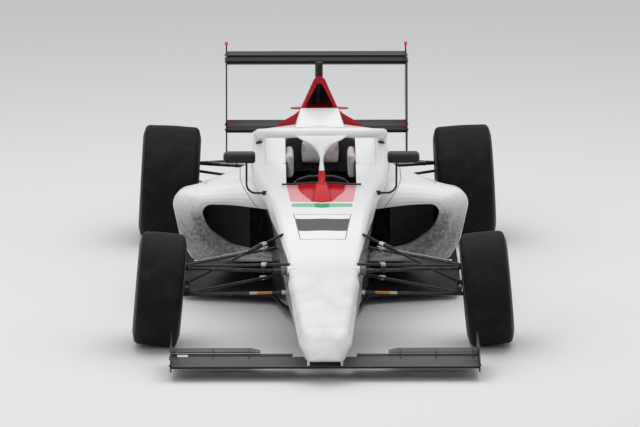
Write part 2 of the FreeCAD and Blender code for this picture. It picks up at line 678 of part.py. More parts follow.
def make_drive_line():
    engine = box(-160, 160, TUB[-1][0], 2058, 96, 545)
    save("engine", engine)
    bell = loft([rounded_wire([(-w, z0, 30), (w, z0, 30), (w, z1, 40), (-w, z1, 40)], across(s))
                 for s, w, z0, z1 in ((2058, 150, 100, 470), (2300, 110, 110, 420), (2860, 84, 172, 408))], True)
    for side in (1, -1):                           # cups for the drive shafts' inner joints
        cup = Part.makeCylinder(46, 96, point(side * 60, WHEELBASE, DRIVE_Z), Vector(side, 0, 0))
        bore = Part.makeCylinder(38, 56, point(side * 104, WHEELBASE, DRIVE_Z), Vector(side, 0, 0))
        bell = bell.fuse(cup).cut(bore)
    save("gearbox", bell.removeSplitter())
    crash = loft([rounded_wire([(-w, z0, 24), (w, z0, 24), (w, z1, 30), (-w, z1, 30)], across(s))
                  for s, w, z0, z1 in ((2861, 80, 200, 400), (TAIL_STATION - 22, 52, 240, 352))], True)
    jack = fuse([rod((-118, 3310, 262), (118, 3310, 262), 11), rod((-64, 3310, 262), (64, 3310, 262), 18)])
    tab = side_prism([(3180, 340, 6), (3180, 420, 22), (3250, 420, 22), (3250, 340, 6)], -5, 5)
    tab = tab.cut(rod((-20, 3215, 392), (20, 3215, 392), 15))
    # stay that carries the beam wing, and through it the upper planes
    pylon = side_prism([(2930, 360, 10), (3080, 360, 10), (3080, 530, 4), (2990, 530, 4)], -6, 6)
    planes = PARTS["rear_wing_planes"]
    crash = fuse([crash, jack, tab, pylon]).cut(planes)
    save("rear_crash_box", max(crash.Solids, key=lambda s: s.Volume))
    # pipe from the engine's side, back through the left sidepod's tail
    port, bend, mouth = (120, 1960, 311), (230, 2080, 330), (250, 2440, 400)
    outside, inside = (fuse([rod(port, bend, radius), Part.makeSphere(radius, point(*bend)), rod(bend, mouth, radius)])
                       for radius in (26, 23))
    save("exhaust", outside.cut(inside).cut(engine))


# ---------------------------------------------------------------- wheels
def wheel_place(tyre):
    """Placement of a wheel built about the X axis, with +X outboard: its leaning tyre just touches the ground and
    the car's overall width."""
    turn = Rotation(Vector(0, 1, 0), -tyre["camber"])
    if "centre" not in tyre:
        leaning = tyre_solid(tyre)
        leaning.Placement = Placement(Vector(0, 0, 0), turn)
        room = leaning.optimalBoundingBox()
        tyre["centre"] = (OVERALL_WIDTH / 2 - room.XMax, tyre["station"], -room.ZMin)
    return Placement(point(*tyre["centre"]), turn)


def ring(corners):
    """Solid of revolution about the X axis from a rounded outline: x, radius from the axis, corner radius."""
    wire = rounded_wire(corners, lambda u, v: Vector(u, 0, v))
    return Part.Face(wire).revolve(Vector(0, 0, 0), Vector(1, 0, 0), 360)


def tyre_solid(tyre):
    half, tread, rim = tyre["section"] / 2, tyre["tread"] / 2, tyre["rim"] / 2 - 8
    radius = tyre["radius"]
    outer = [(-tread, radius - 3, 26), (0, radius + 1, 900), (tread, radius - 3, 26), (half, radius - 62, 60),
             (half - 6, BEAD_RADIUS + 26, 16), (rim, BEAD_RADIUS + 14, 4), (rim, BEAD_RADIUS + 0.5, 3)]
    inner = [(rim - 16, BEAD_RADIUS + 0.5, 3), (half - 20, BEAD_RADIUS + 36, 16), (tread - 14, radius - 16, 30),
             (-tread + 14, radius - 16, 30), (-half + 20, BEAD_RADIUS + 36, 16), (-rim + 16, BEAD_RADIUS + 0.5, 3)]
    ends = [(-rim, BEAD_RADIUS + 0.5, 3), (-rim, BEAD_RADIUS + 14, 4), (-half + 6, BEAD_RADIUS + 26, 16),
            (-half, radius - 62, 60)]
    return ring(outer + inner + ends)


SPOKES = 10


def rim_solid(tyre):
    edge = tyre["rim"] / 2
    face = edge - 44                               # outer side of the hub's flange
    barrel = ring([(-edge, BARREL_RADIUS, 2), (-edge, 176, 3), (-edge + 7, 176, 3), (-edge + 7, BEAD_RADIUS, 2),
                   (edge - 7, BEAD_RADIUS, 2), (edge - 7, 176, 3), (edge, 176, 3), (edge, BARREL_RADIUS, 2)])
    dish = ring([(face - 22, 20, 2), (face, 20, 2), (face, 52, 6), (edge - 14, 150, 20), (edge - 8, 158, 1),
                 (edge - 40, 158, 1), (edge - 40, 148, 10), (face - 22, 60, 10)])
    windows = []
    for index in range(SPOKES):
        turn = 360.0 * index / SPOKES
        corners = [(-8, 62, 6), (8, 62, 6), (31, 146, 12), (-31, 146, 12)]
        wire = rounded_wire(corners, lambda u, v: Vector(edge - 120, u, v))
        window = prism(wire, Vector(160, 0, 0))
        window.rotate(Vector(0, 0, 0), Vector(1, 0, 0), turn)
        windows.append(window)
    dish = dish.cut(windows)
    return fuse([barrel, dish])


def hub_solid(tyre, disc_radius, driven):
    """Spindle, flange, centre nut and ventilated brake disc, which turn with the wheel, and its drive shaft."""
    inner_end = -96.0 if driven else FRONT_SPINDLE_END
    edge = tyre["rim"] / 2
    face = edge - 44
    spindle = Part.makeCylinder(SPINDLE_RADIUS - RUNNING, face - 23 - inner_end, Vector(inner_end, 0, 0),
                                Vector(1, 0, 0))
    flange = Part.makeCylinder(56, 12, Vector(face - 34.2, 0, 0), Vector(1, 0, 0))
    snout = Part.makeCylinder(19.8, 34, Vector(face - 24, 0, 0), Vector(1, 0, 0))
    nut = prism(rounded_wire([(29 * math.cos(math.radians(60 * k)), 29 * math.sin(math.radians(60 * k)), 2)
                              for k in range(6)], lambda u, v: Vector(face + 0.2, u, v)), Vector(18, 0, 0))
    disc_x = -20.0
    plates = [ring([(x, 84, 1), (x + 8, 84, 1), (x + 8, disc_radius, 1), (x, disc_radius, 1)])
              for x in (disc_x, disc_x + 14)]
    vanes = []
    for index in range(24):
        vane = Part.makeBox(8, 5, disc_radius - 4 - 86, Vector(disc_x + 7, -2.5, 86))
        vane.rotate(Vector(0, 0, 0), Vector(1, 0, 0), 360.0 * index / 24)
        vanes.append(vane)
    bell = ring([(disc_x + 4, 80, 2), (disc_x + 4, 88, 1), (disc_x + 18, 88, 1), (face - 30, 56, 2),
                 (face - 34.2, 40, 1), (face - 34.2, 33, 1), (disc_x + 18, 33, 1), (disc_x + 18, 72, 4)])
    shaft = []
    if driven:
        inner = Vector(-DRIVE_END, 0, 0)
        shaft = [Part.makeCylinder(13, DRIVE_END - 90, inner, Vector(1, 0, 0)),
                 Part.makeCylinder(30, 26, inner, Vector(1, 0, 0)),
                 Part.makeCone(16, 31, 64, Vector(-160, 0, 0), Vector(1, 0, 0))]
    return fuse([spindle, flange, snout, nut, bell] + plates + vanes + shaft)


def make_wheels():
    for end, tyre, disc in (("front", FRONT_TYRE, 131.0), ("rear", REAR_TYRE, 128.0)):
        place = wheel_place(tyre)
        for name, solid in (("tyre", tyre_solid(tyre)), ("rim", rim_solid(tyre)), ("hub", hub_solid(tyre, disc, end == "rear"))):
            solid.Placement = place.multiply(solid.Placement)
            save("%s_%s_left" % (name, end), solid)
            save("%s_%s_right" % (name, end), mirrored(solid))


# ---------------------------------------------------------------- front corner: knuckle, arms, steering
def joint_eye(centre, axis, radius, hole, length):
    """Round eye of an arm about a pin."""
    unit = Vector(axis).normalize()
    start = centre - unit * (length / 2)
    eye = Part.makeCylinder(radius, length, start, unit)
    return eye, Part.makeCylinder(hole, length + 12, start - unit * 6, unit)


def kingpin_axis():
    return (point(*KINGPIN_TOP) - point(*KINGPIN_FOOT)).normalize()


PIN = 6.0
EYE = 15.0
EYE_LENGTH = 18.0
PUSHROD_BOLT = 4.0


def make_front_wishbones():
    tub = tub_outer(0.3)
    axis = kingpin_axis()
    arms = []
    for outer, inners in ((KINGPIN_TOP, UPPER_ARM_INNER), (KINGPIN_FOOT, LOWER_ARM_INNER)):
        eye, hole = joint_eye(point(*outer), axis, EYE, PIN + PIN_PLAY, EYE_LENGTH)
        legs = [blade(outer, inner, 30, 13) for inner in inners]
        parts = legs + [eye]
        if outer is KINGPIN_FOOT:                  # clevis for the pushrod's foot
            x, s, z = PUSHROD_FOOT
            parts.append(side_prism([(s - 14, z - 58, 4), (s + 14, z - 58, 4), (s + 14, z + 12, 12),
                                     (s - 14, z + 12, 12)], x - 13, x + 13))
        arm = fuse(parts).cut(hole).cut(tub)
        if outer is KINGPIN_FOOT:
            slot = side_prism([(s - 20, z - 22, 1), (s + 20, z - 22, 1), (s + 20, z + 20, 1), (s - 20, z + 20, 1)],
                              x - 7, x + 7)
            arm = arm.cut(slot).fuse(rod((x - 13, s, z), (x + 13, s, z), PUSHROD_BOLT))
        arms.append(max(arm.Solids, key=lambda solid: solid.Volume))
    save("front_wishbones", Part.Compound(arms + [mirrored(a) for a in arms]))


def make_front_pushrods():
    foot, hole = joint_eye(point(*PUSHROD_FOOT), Vector(1, 0, 0), 11, PUSHROD_BOLT + PIN_PLAY, 13)
    push = fuse([blade(PUSHROD_FOOT, PUSHROD_TOP, 24, 13), foot]).cut(hole)
    collar_a = point(*PUSHROD_TOP) * 0.8 + point(*PUSHROD_FOOT) * 0.2
    run = (point(*PUSHROD_TOP) - point(*PUSHROD_FOOT)).normalize()
    push = fuse([push, Part.makeCylinder(11, 46, collar_a - run * 60, run)])
    push = push.cut(tub_outer(0.3)).cut(PARTS["front_wishbones"])
    save("front_pushrods", pair(max(push.Solids, key=lambda solid: solid.Volume)))


def make_knuckles():
    """Upright with the bearing housing, two clevises on the kingpin axis, steering arm and brake caliper."""
    place = wheel_place(FRONT_TYRE)
    hub = PARTS["hub_front_left"]
    housing = Part.makeCylinder(52, 32, Vector(-64, 0, 0), Vector(1, 0, 0))
    housing.Placement = place.multiply(housing.Placement)
    bore = Part.makeCylinder(SPINDLE_RADIUS, 40, Vector(FRONT_SPINDLE_END - 1, 0, 0), Vector(1, 0, 0))
    bore.Placement = place.multiply(bore.Placement)
    web = side_prism([(-24, 222, 10), (22, 222, 10), (50, 262, 24), (40, 330, 30), (32, 398, 12), (-16, 398, 12),
                      (-44, 330, 30), (-50, 262, 24)], 702, 726)
    axis = kingpin_axis()
    for centre in (KINGPIN_TOP, KINGPIN_FOOT):     # room for the arms' eyes to turn
        room, _ = joint_eye(point(*centre), axis, EYE + 5, PIN, EYE_LENGTH + 2)
        web = web.cut(room)
    pieces = [housing, web]
    gap = EYE_LENGTH / 2 + 1.0
    for centre in (KINGPIN_TOP, KINGPIN_FOOT):
        middle = point(*centre)
        for side in (1, -1):
            base = middle + axis * (gap if side > 0 else -gap - 7)
            ear = Part.makeCylinder(13, 7, base, axis)
            wedge = Part.makeBox(34, 26, 7, Vector(0, -13, 0))
            wedge.Placement = Placement(base, Rotation(Vector(0, 0, 1), axis))
            pieces += [ear, wedge]
        pieces.append(Part.makeCylinder(PIN, 2 * gap + 14, middle - axis * (gap + 7), axis))
    x, s, z = TIE_ROD_OUTER
    arm = side_prism([(-70, 352, 4), (-70, 366, 6), (-10, 376, 6), (-10, 344, 4)], 660, 726)
    arm = arm.cut(plan_prism([(650, -74, 2), (700, -30, 12), (700, 20, 4), (650, 20, 2)], 330, 400))
    pin = rod((x, s, 356), (x, s, z + 12), 5)
    boss = rod((x, s, 352), (x, s, 368), 11)
    pieces += [arm, boss, pin]
    knuckle = fuse(pieces).cut(bore)
    # caliper behind the axle, bridging the disc
    caliper = ring([(-40, 88, 4), (-40, 146, 8), (14, 146, 8), (14, 88, 4)])
    wedge = prism(rounded_wire([(20, 60, 2), (150, 60, 2), (150, -60, 2), (20, -60, 2)],
                               lambda u, v: Vector(-60, u, v)), Vector(100, 0, 0))
    slot = ring([(-25, 60, 1), (-25, 136, 2), (7, 136, 2), (7, 60, 1)])
    caliper = caliper.common(wedge).cut(slot)
    caliper.Placement = place.multiply(caliper.Placement)
    stay = box(702, 746, 34, 112, 262, 318)
    knuckle = fuse([knuckle, stay, caliper]).cut(hub)
    left = max(knuckle.Solids, key=lambda solid: solid.Volume)
    save("knuckle_left", left)
    save("knuckle_right", mirrored(left))


def make_steering():
    x, s, z = TIE_ROD_OUTER
    rack = rod((-236, RACK_STATION, RACK_Z), (236, RACK_STATION, RACK_Z), 11)
    save("steering_rack", rack)
    eye, hole = joint_eye(point(x, s, z), Vector(0, 0, 1), 17, 10.5, 11)
    start = (236, RACK_STATION, RACK_Z)
    link = fuse([rod(start, (x, s, z), 8), eye]).cut(hole)
    link = link.cut(rack)
    save("tie_rods", pair(max(link.Solids, key=lambda solid: solid.Volume)))
    # steering wheel and its column
    a, b = point(*COLUMN_START), point(*COLUMN_END)
    run = (b - a).normalize()
    column = Part.makeCylinder(14, (b - a).Length - 2, a, run)
    place = Placement(b, Rotation(Vector(0, 0, 1), run))
    outline = [(-128, -40, 26), (-128, 52, 34), (-60, 74, 20), (60, 74, 20), (128, 52, 34), (128, -40, 26),
               (70, -84, 20), (-70, -84, 20)]
    # plate's own axes: u to the left of the driver, v upwards
    up = Vector(0, 0, 1)
    up = (up - run * up.dot(run)).normalize()
    side = Vector(1, 0, 0)

    def on_plate(u, v):
        return b + side * u + up * v

    plate = prism(rounded_wire(outline, on_plate), run * 16)
    for sign in (1, -1):
        grip = [(sign * 66, -36, 14), (sign * 104, -30, 14), (sign * 104, 36, 16), (sign * 66, 42, 14)]
        plate = plate.cut(prism(rounded_wire(grip, lambda u, v: on_plate(u, v) - run * 5), run * 30))
    rims = []
    for sign in (1, -1):
        low, high = on_plate(sign * 117, -34), on_plate(sign * 117, 42)
        grip = Part.makeCylinder(15, (high - low).Length, low + run * 8, high - low)
        rims.append(grip)
    hub = Part.makeCylinder(30, 26, b - run * 24, run)
    save("steering_wheel", fuse([plate, column, hub] + rims))


# ---------------------------------------------------------------- rear corner
def make_rear_corner():
    place = wheel_place(REAR_TYRE)
    hub = PARTS["hub_rear_left"]
    housing = Part.makeCylinder(56, 46, Vector(-88, 0, 0), Vector(1, 0, 0))
    housing.Placement = place.multiply(housing.Placement)
    bore = Part.makeCylinder(SPINDLE_RADIUS, 120, Vector(-118, 0, 0), Vector(1, 0, 0))
    bore.Placement = place.multiply(bore.Placement)
    axle = REAR_TYRE["station"]
    web = side_prism([(axle - 36, 176, 12), (axle + 22, 176, 12), (axle + 56, 250, 26), (axle + 42, 400, 14),
                      (axle - 12, 400, 14), (axle - 104, 376, 12), (axle - 104, 356, 12), (axle - 56, 300, 26)],
                     656, 680)
    lugs = []
    for x, s, z in (REAR_UPPER_OUTER, REAR_LOWER_OUTER, TOE_LINK[0]):
        lugs.append(rod((x + 8, s, z), (660, s, z), 12))
    caliper = ring([(-40, 86, 4), (-40, 143, 8), (14, 143, 8), (14, 86, 4)])
    wedge = prism(rounded_wire([(20, 60, 2), (150, 60, 2), (150, -60, 2), (20, -60, 2)],
                               lambda u, v: Vector(-60, u, v)), Vector(100, 0, 0))
    slot = ring([(-25, 60, 1), (-25, 133, 2), (7, 133, 2), (7, 60, 1)])
    caliper = caliper.common(wedge).cut(slot)
    caliper.Placement = place.multiply(caliper.Placement)
    stay = box(660, 714, axle + 40, axle + 112, 262, 322)
    upright = fuse([housing, web, stay, caliper] + lugs).cut(bore).cut(hub)
    save("rear_uprights", pair(max(upright.Solids, key=lambda solid: solid.Volume)))
    gearbox = PARTS["gearbox"]
    upright = PARTS["rear_uprights"]
    arms = []
    for outer, inners in ((REAR_UPPER_OUTER, REAR_UPPER_INNER), (REAR_LOWER_OUTER, REAR_LOWER_INNER)):
        eye, _ = joint_eye(point(*outer), Vector(0, 0, 1), 14, 4, 18)
        arm = fuse([blade(outer, inner, 32, 15) for inner in inners] + [eye])
        arm = arm.cut(gearbox).cut(upright).cut(PARTS["rear_crash_box"])
        arms.append(max(arm.Solids, key=lambda solid: solid.Volume))
    save("rear_wishbones", Part.Compound(arms + [mirrored(a) for a in arms]))
    links = []
    for start, end, chord, thick in ((*TOE_LINK, 22, 14), (*REAR_PUSHROD, 24, 14)):
        link = blade(start, end, chord, thick).cut(gearbox).cut(upright).cut(arms)
        links.append(max(link.Solids, key=lambda solid: solid.Volume))
    save("rear_links", Part.Compound(links + [mirrored(link) for link in links]))


# ---------------------------------------------------------------- build
def build():
    tub = make_monocoque()
    make_front_wing()
    make_nose()
    make_headrest(tub)
    make_cockpit_lip()
    make_halo()
    cover = make_engine_cover()
    make_roll_hoop_fairing(cover)
    make_camera_mast()
    make_sidepods()
    make_floor()
    make_diffuser()
    make_rear_wing()
    make_mirrors()
    make_seat()
    make_drive_line()
    make_wheels()
    make_front_wishbones()
    make_front_pushrods()
    make_knuckles()
    make_steering()
    make_rear_corner()


build()
os.makedirs("parts", exist_ok=True)
for name, shape in PARTS.items():
    solids = shape.Solids
    whole = solids[0] if len(solids) == 1 else Part.Compound(solids)
    whole.exportStep("parts/%s.step" % name)
    print("%-24s solids %d faces %3d volume %9.1f cm3 valid %s" % (
        name, len(solids), len(whole.Faces), whole.Volume / 1000, whole.isValid()))
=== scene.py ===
"""Looks of the open wheel racing car: paint, carbon, rubber and metal finishes on the CAD pieces, and the small
pieces that the CAD model leaves to this script. Metres, in the CAD model's frame: -Y is forward, +X the car's left.
"""
import json
import math

import bmesh
import bpy
from mathutils import Matrix, Vector


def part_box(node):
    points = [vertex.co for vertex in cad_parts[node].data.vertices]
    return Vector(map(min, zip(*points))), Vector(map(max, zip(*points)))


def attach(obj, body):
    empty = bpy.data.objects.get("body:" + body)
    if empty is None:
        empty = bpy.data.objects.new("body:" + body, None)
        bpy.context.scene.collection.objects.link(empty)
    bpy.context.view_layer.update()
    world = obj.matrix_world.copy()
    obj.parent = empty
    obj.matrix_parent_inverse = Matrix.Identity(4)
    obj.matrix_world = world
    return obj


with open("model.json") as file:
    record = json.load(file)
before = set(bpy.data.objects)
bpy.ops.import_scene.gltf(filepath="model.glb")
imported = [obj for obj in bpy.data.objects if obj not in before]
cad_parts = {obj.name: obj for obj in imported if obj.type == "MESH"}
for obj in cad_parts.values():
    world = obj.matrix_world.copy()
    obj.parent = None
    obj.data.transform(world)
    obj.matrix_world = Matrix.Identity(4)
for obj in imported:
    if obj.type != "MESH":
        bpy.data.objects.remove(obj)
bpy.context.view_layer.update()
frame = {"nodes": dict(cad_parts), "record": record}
NODES = frame["nodes"]
FRONT_AXLE = -1.21      # y of the front axle
JOINTS = {joint["name"]: joint for joint in frame["record"]["behaviour"]["joints"]}
SIDES = (("left", 1), ("right", -1))
# name, radius and tread width of the tyres at each end
TYRES = (("front", 0.270, 0.196), ("rear", 0.2875, 0.264))


def at(x, station, z):
    """A point from its station in metres behind the front axle."""
    return Vector((x, FRONT_AXLE + station, z))


# ---- shader expressions
class Wire:
    """A shader socket's value. Arithmetic on it adds Math nodes to its material."""

    def __init__(self, finish, socket):
        self.finish = finish
        self.socket = socket

    def __add__(self, other):
        return self.finish.math("ADD", self, other)

    def __sub__(self, other):
        return self.finish.math("SUBTRACT", self, other)

    def __rsub__(self, other):
        return self.finish.math("SUBTRACT", other, self)

    def __mul__(self, other):
        return self.finish.math("MULTIPLY", self, other)

    def __truediv__(self, other):
        return self.finish.math("DIVIDE", self, other)

    def __abs__(self):
        return self.finish.math("ABSOLUTE", self)

    __radd__ = __add__
    __rmul__ = __mul__


class Finish:
    """A material being made: its nodes, and the Principled shader that they end in."""

    def __init__(self, name, **constants):
        self.material = bpy.data.materials.new(name)
        self.material.use_nodes = True
        self.tree = self.material.node_tree
        self.shader = self.tree.nodes["Principled BSDF"]
        for socket, value in constants.items():
            self.shader.inputs[socket.replace("_", " ")].default_value = value
        self.place = self.node("TexCoord", output="Object")
        self.x, self.y, self.z = self.split(self.place)
        self.s = self.y - FRONT_AXLE          # station
        self.off = abs(self.x)
        self.face_x, self.face_y, self.face_z = self.split(self.node("NewGeometry", output="Normal"))

    def node(self, kind, settings=None, inputs=(), output=0):
        """Adds a node: its settings first, then its sockets' values or links, by place or by name."""
        node = self.tree.nodes.new("ShaderNode" + kind)
        for key, value in (settings or {}).items():
            if key == "stops":
                ramp = node.color_ramp
                while len(ramp.elements) < len(value):
                    ramp.elements.new(1.0)
                for element, (where, shade) in zip(ramp.elements, value):
                    element.position = where
                    element.color = (*shade, 1.0)
            else:
                setattr(node, key, value)
        pairs = inputs.items() if isinstance(inputs, dict) else enumerate(inputs)
        for key, value in pairs:
            if isinstance(value, Wire):
                self.tree.links.new(value.socket, node.inputs[key])
            else:
                node.inputs[key].default_value = value
        return Wire(self, node.outputs[output])

    def split(self, vector):
        node = self.node("SeparateXYZ", inputs=[vector]).socket.node
        return [Wire(self, out) for out in node.outputs]

    def math(self, operation, *values):
        return self.node("Math", {"operation": operation}, values)

    def vector(self, operation, *values):
        return self.node("VectorMath", {"operation": operation}, values)

    def step(self, value, low, high):
        """0 below low and 1 above high, with a soft step between; the other way round if low is above high."""
        return self.node("MapRange", {"interpolation_type": "SMOOTHSTEP"},
                         {"Value": value, "From Min": low, "From Max": high})

    def band(self, value, low, high, soft=0.002):
        """1 between low and high."""
        return self.step(value, low - soft, low + soft) * self.step(value, high + soft, high - soft)

    def noise(self, scale, detail=3.0, roughness=0.5, stretch=None, place=None):
        """Cloudy values about 0.5. stretch multiplies the pattern's coordinates along each axis."""
        place = place or self.place
        if stretch:
            place = self.vector("MULTIPLY", place, stretch)
        pattern = {"Vector": place, "Scale": scale, "Detail": detail, "Roughness": roughness}
        return self.node("TexNoise", {}, pattern, "Fac")

    def cells(self, scale, randomness=1.0):
        """Distance to the nearest of scattered points, 0 in the middle of each cell."""
        return self.node("TexVoronoi", {"feature": "F1"},
                         {"Vector": self.place, "Scale": scale, "Randomness": randomness}, "Distance")

    def mix(self, amount, first, second):
        """Colour between two colours."""
        colours = [c if isinstance(c, Wire) else (*c, 1.0) for c in (first, second)]
        return self.node("Mix", {"data_type": "RGBA"}, {0: amount, 6: colours[0], 7: colours[1]}, 2)

    def largest(self, *values):
        result = values[0]
        for value in values[1:]:
            result = self.math("MAXIMUM", result, value)
        return result

    def feed(self, socket, value):
        self.tree.links.new(value.socket, self.shader.inputs[socket])

    def bump(self, height, distance, strength=1.0):
        """Relief of this many metres where height goes from 0 to 1."""
        relief = {"Height": height, "Distance": distance, "Strength": strength}
        self.feed("Normal", self.node("Bump", {}, relief))

    def done(self, colour, roughness=None, *relief):
        """Feeds the shader, and gives the finished material. relief is what bump takes."""
        self.feed("Base Color", colour)
        if roughness:
            self.feed("Roughness", roughness)
        if relief:
            self.bump(*relief)
        return self.material


# ---- finishes
WHITE = (0.80, 0.80, 0.79)
RED = (0.56, 0.004, 0.012)
PINK = (0.76, 0.36, 0.37)
GREEN = (0.03, 0.30, 0.12)
DUST = (0.30, 0.29, 0.26)
GREY = (0.15, 0.165, 0.16)
CARBON = (0.009, 0.0095, 0.010)
RUBBER = (0.005, 0.0055, 0.006)
CHIPPED = (0.10, 0.095, 0.09)       # primer under the paint
NICKED = (0.35, 0.35, 0.34)         # steel under a black coating


def darker(colour, share):
    return tuple(share * c for c in colour)


def patchy_white(f):
    return f.mix(f.noise(2.5, 3.0), WHITE, (0.77, 0.775, 0.77))


def dusty_shaded_grey(f):
    # mottled grey of the flanks: partly dust, partly painted shade of the white sides
    return f.mix(f.noise(26.0, 5.0, 0.6), GREY, (0.06, 0.065, 0.065))


def faded_red(f):
    """The streaks along the red panel, and the pink to which its edge has faded."""
    streaks = f.noise(60.0, 4.0, 0.6, stretch=(1.0, 0.15, 1.0))
    return streaks, f.mix(streaks * 0.5, PINK, (0.66, 0.26, 0.28))


def stone_chips(f, scale, share):
    """Small scattered specks: 1 inside a speck."""
    speck = f.cells(scale)
    where = f.noise(scale * 0.16, 2.0)
    return f.step(speck, 0.13, 0.08) * f.step(where, 1 - share, 1 - share + 0.05)


def body_paint(name, dust=0.25, base=None, relief=None):
    """Glossy race car paint under a film of road dust. base colours it, and relief cuts grooves in it."""
    f = Finish(name, Roughness=0.28, Specular_IOR_Level=0.2, Coat_Weight=0.15, Coat_Roughness=0.08)
    colour = (base or patchy_white)(f)
    # darker towards the bottom: the film and the chips grow below z 0.55
    low = f.step(f.z, 0.55, 0.10)
    grime = f.noise(9.0, 6.0, 0.65) * f.noise(2.2, 2.0)
    film = f.step(grime, 0.16, 0.46) * (dust * (0.35 + 1.3 * low))
    colour = f.mix(film, colour, DUST)
    chips = f.largest(stone_chips(f, 95.0, 0.42), stone_chips(f, 210.0, 0.40))
    colour = f.mix(chips * (0.25 + 0.5 * low), colour, CHIPPED)
    if relief:
        groove = relief(f)
        colour = f.mix(groove * 0.8, colour, (0.10, 0.10, 0.10))
        f.bump(1 - groove, 0.002)
    return f.done(colour, 0.26 + 0.35 * film + 0.2 * chips)


def carbon_weave(f):
    """Twill weave: 1 where the strands along one way lie on top. The strands step over at each thread."""
    pitch = 0.004
    a = (f.x + f.z * 0.5) / pitch
    b = (f.y + f.z * 0.5) / pitch
    step = f.math("FLOOR", a) + f.math("FLOOR", b)
    return f.math("LESS_THAN", f.math("FLOORED_MODULO", step, 4.0), 1.5)


def carbon(name, gloss=0.32):
    """Lacquered carbon fibre under a little dust."""
    f = Finish(name, Specular_IOR_Level=0.2, Coat_Weight=0.12, Coat_Roughness=0.2)
    weave = carbon_weave(f)
    film = f.step(f.noise(12.0, 5.0, 0.6), 0.45, 0.75) * 0.10
    shade = f.mix(weave * 0.45, CARBON, darker(CARBON, 2.2))
    return f.done(f.mix(film, shade, DUST), gloss + 0.10 * weave + film, weave * 0.5, 0.0002, 0.4)


def metal(name, colour, rough=0.35):
    """Bare metal, streaked and stained."""
    f = Finish(name, Metallic=1.0)
    streak = f.noise(160.0, 4.0, 0.6)
    dirt = f.step(f.noise(22.0, 4.0), 0.5, 0.75) * 0.25
    stained = f.mix(dirt, f.mix(streak * 0.35, colour, darker(colour, 0.6)), (0.06, 0.055, 0.05))
    return f.done(stained, rough + 0.15 * streak + 0.25 * dirt, streak, 0.0001, 0.5)


def coated(name, colour, dust):
    """Coated steel under a dusty film, nicked down to the steel: the finish begun, its colour, and the film."""
    f = Finish(name, Specular_IOR_Level=0.25, Coat_Weight=0.06, Coat_Roughness=0.3)
    film = f.step(f.noise(30.0, 5.0, 0.6), 0.48, 0.8)
    shade = f.mix(film * dust, colour, DUST)
    return f, f.mix(stone_chips(f, 300.0, 0.38) * 0.6, shade, NICKED), film


def satin_black(name, colour=(0.010, 0.010, 0.011), rough=0.38):
    """Powder coated or painted steel, with dust and small scratches."""
    f, shade, film = coated(name, colour, 0.22)
    return f.done(shade, rough + 0.25 * film, f.noise(600.0, 2.0), 0.00008, 0.6)


def corner_place(f, joint):
    """Object coordinates about a wheel: x along its axle, outboard positive."""
    centre = Vector(joint["pos_m"])
    axle = Vector(joint["axis"])
    turn = Vector((1, 0, 0)).rotation_difference(axle).inverted().to_euler()
    local = f.vector("SUBTRACT", f.place, tuple(centre))
    return f.node("Mapping", {"vector_type": "POINT"}, {"Vector": local, "Rotation": tuple(turn)})


def tyre_rubber(name, joint, radius, tread):
    """Slick tyre: scuffed tread with picked-up crumbs, smoother walls with moulded rings and a pale line."""
    f = Finish(name, Specular_IOR_Level=0.10)
    along, across, up = f.split(corner_place(f, joint))
    reach = f.math("SQRT", across * across + up * up)
    angle = f.math("ARCTAN2", across, up)
    on_tread = f.step(reach, radius - 0.024, radius - 0.012)
    rolled = f.node("CombineXYZ", inputs=[along * 90.0, angle * 3.0, reach * 20.0])
    scuff = f.noise(1.6, 5.0, 0.65, place=rolled)
    crumbs = f.step(f.cells(420.0), 0.34, 0.2) * f.step(f.noise(40.0, 4.0, 0.7), 0.50, 0.64)
    rings = f.step(f.math("SINE", reach * 900.0), 0.3, 0.9) * f.band(reach, 0.190, 0.236, 0.003)
    wall = f.step(abs(along), tread / 2, tread / 2 + 0.01)
    line = f.band(reach, radius - 0.0505, radius - 0.047, 0.0008) * wall
    dust = f.step(f.noise(16.0, 5.0, 0.6), 0.4, 0.8) * (0.10 + 0.12 * on_tread)
    colour = f.mix(scuff * 0.5 * on_tread, RUBBER, (0.013, 0.016, 0.017))
    colour = f.mix(dust, colour, (0.05, 0.05, 0.047))
    colour = f.mix(line * f.step(f.noise(60.0, 3.0), 0.3, 0.5) * 0.85, colour, (0.55, 0.50, 0.26))
    relief = scuff * 0.25 * on_tread + crumbs * on_tread + rings * 0.9
    return f.done(colour, 0.46 + 0.22 * scuff * on_tread + 0.3 * dust, relief, 0.0009, 0.8)


def plain(name, colour, rough=0.5, metallic=0.0, grain=300.0, relief=0.00008):
    """Moulded or painted small parts: an even colour, faint mottle and a fine skin."""
    f = Finish(name, Metallic=metallic)
    mottle = f.noise(grain * 0.1, 4.0)
    shade = f.mix(mottle * 0.3, colour, darker(colour, 0.75))
    return f.done(shade, rough + 0.12 * mottle, f.noise(grain, 2.0), relief, 0.6)


def plank_wood(name):
    """Scraped skid plank: wood laminate with long scratches."""
    f = Finish(name)
    grain = f.noise(30.0, 5.0, 0.6, stretch=(6.0, 0.25, 6.0))
    scrape = f.step(f.noise(60.0, 4.0, 0.6, stretch=(8.0, 0.05, 1.0)), 0.5, 0.7)
    colour = f.mix(grain, (0.17, 0.10, 0.055), (0.30, 0.20, 0.12))
    colour = f.mix(scrape * 0.5, colour, (0.40, 0.33, 0.26))
    return f.done(colour, 0.6 + 0.2 * scrape, grain * 0.4 + scrape, 0.0004, 0.6)


def lamp_red(name):
    """Lit red lens over its diodes."""
    f = Finish(name, Roughness=0.18, Emission_Strength=0.7)
    dots = f.step(f.cells(90.0, randomness=0.0), 0.55, 0.25)
    f.feed("Emission Color", f.mix(dots, (0.10, 0.0, 0.0), (1.0, 0.06, 0.04)))
    return f.done(f.mix(dots, (0.35, 0.01, 0.01), (0.75, 0.05, 0.04)))


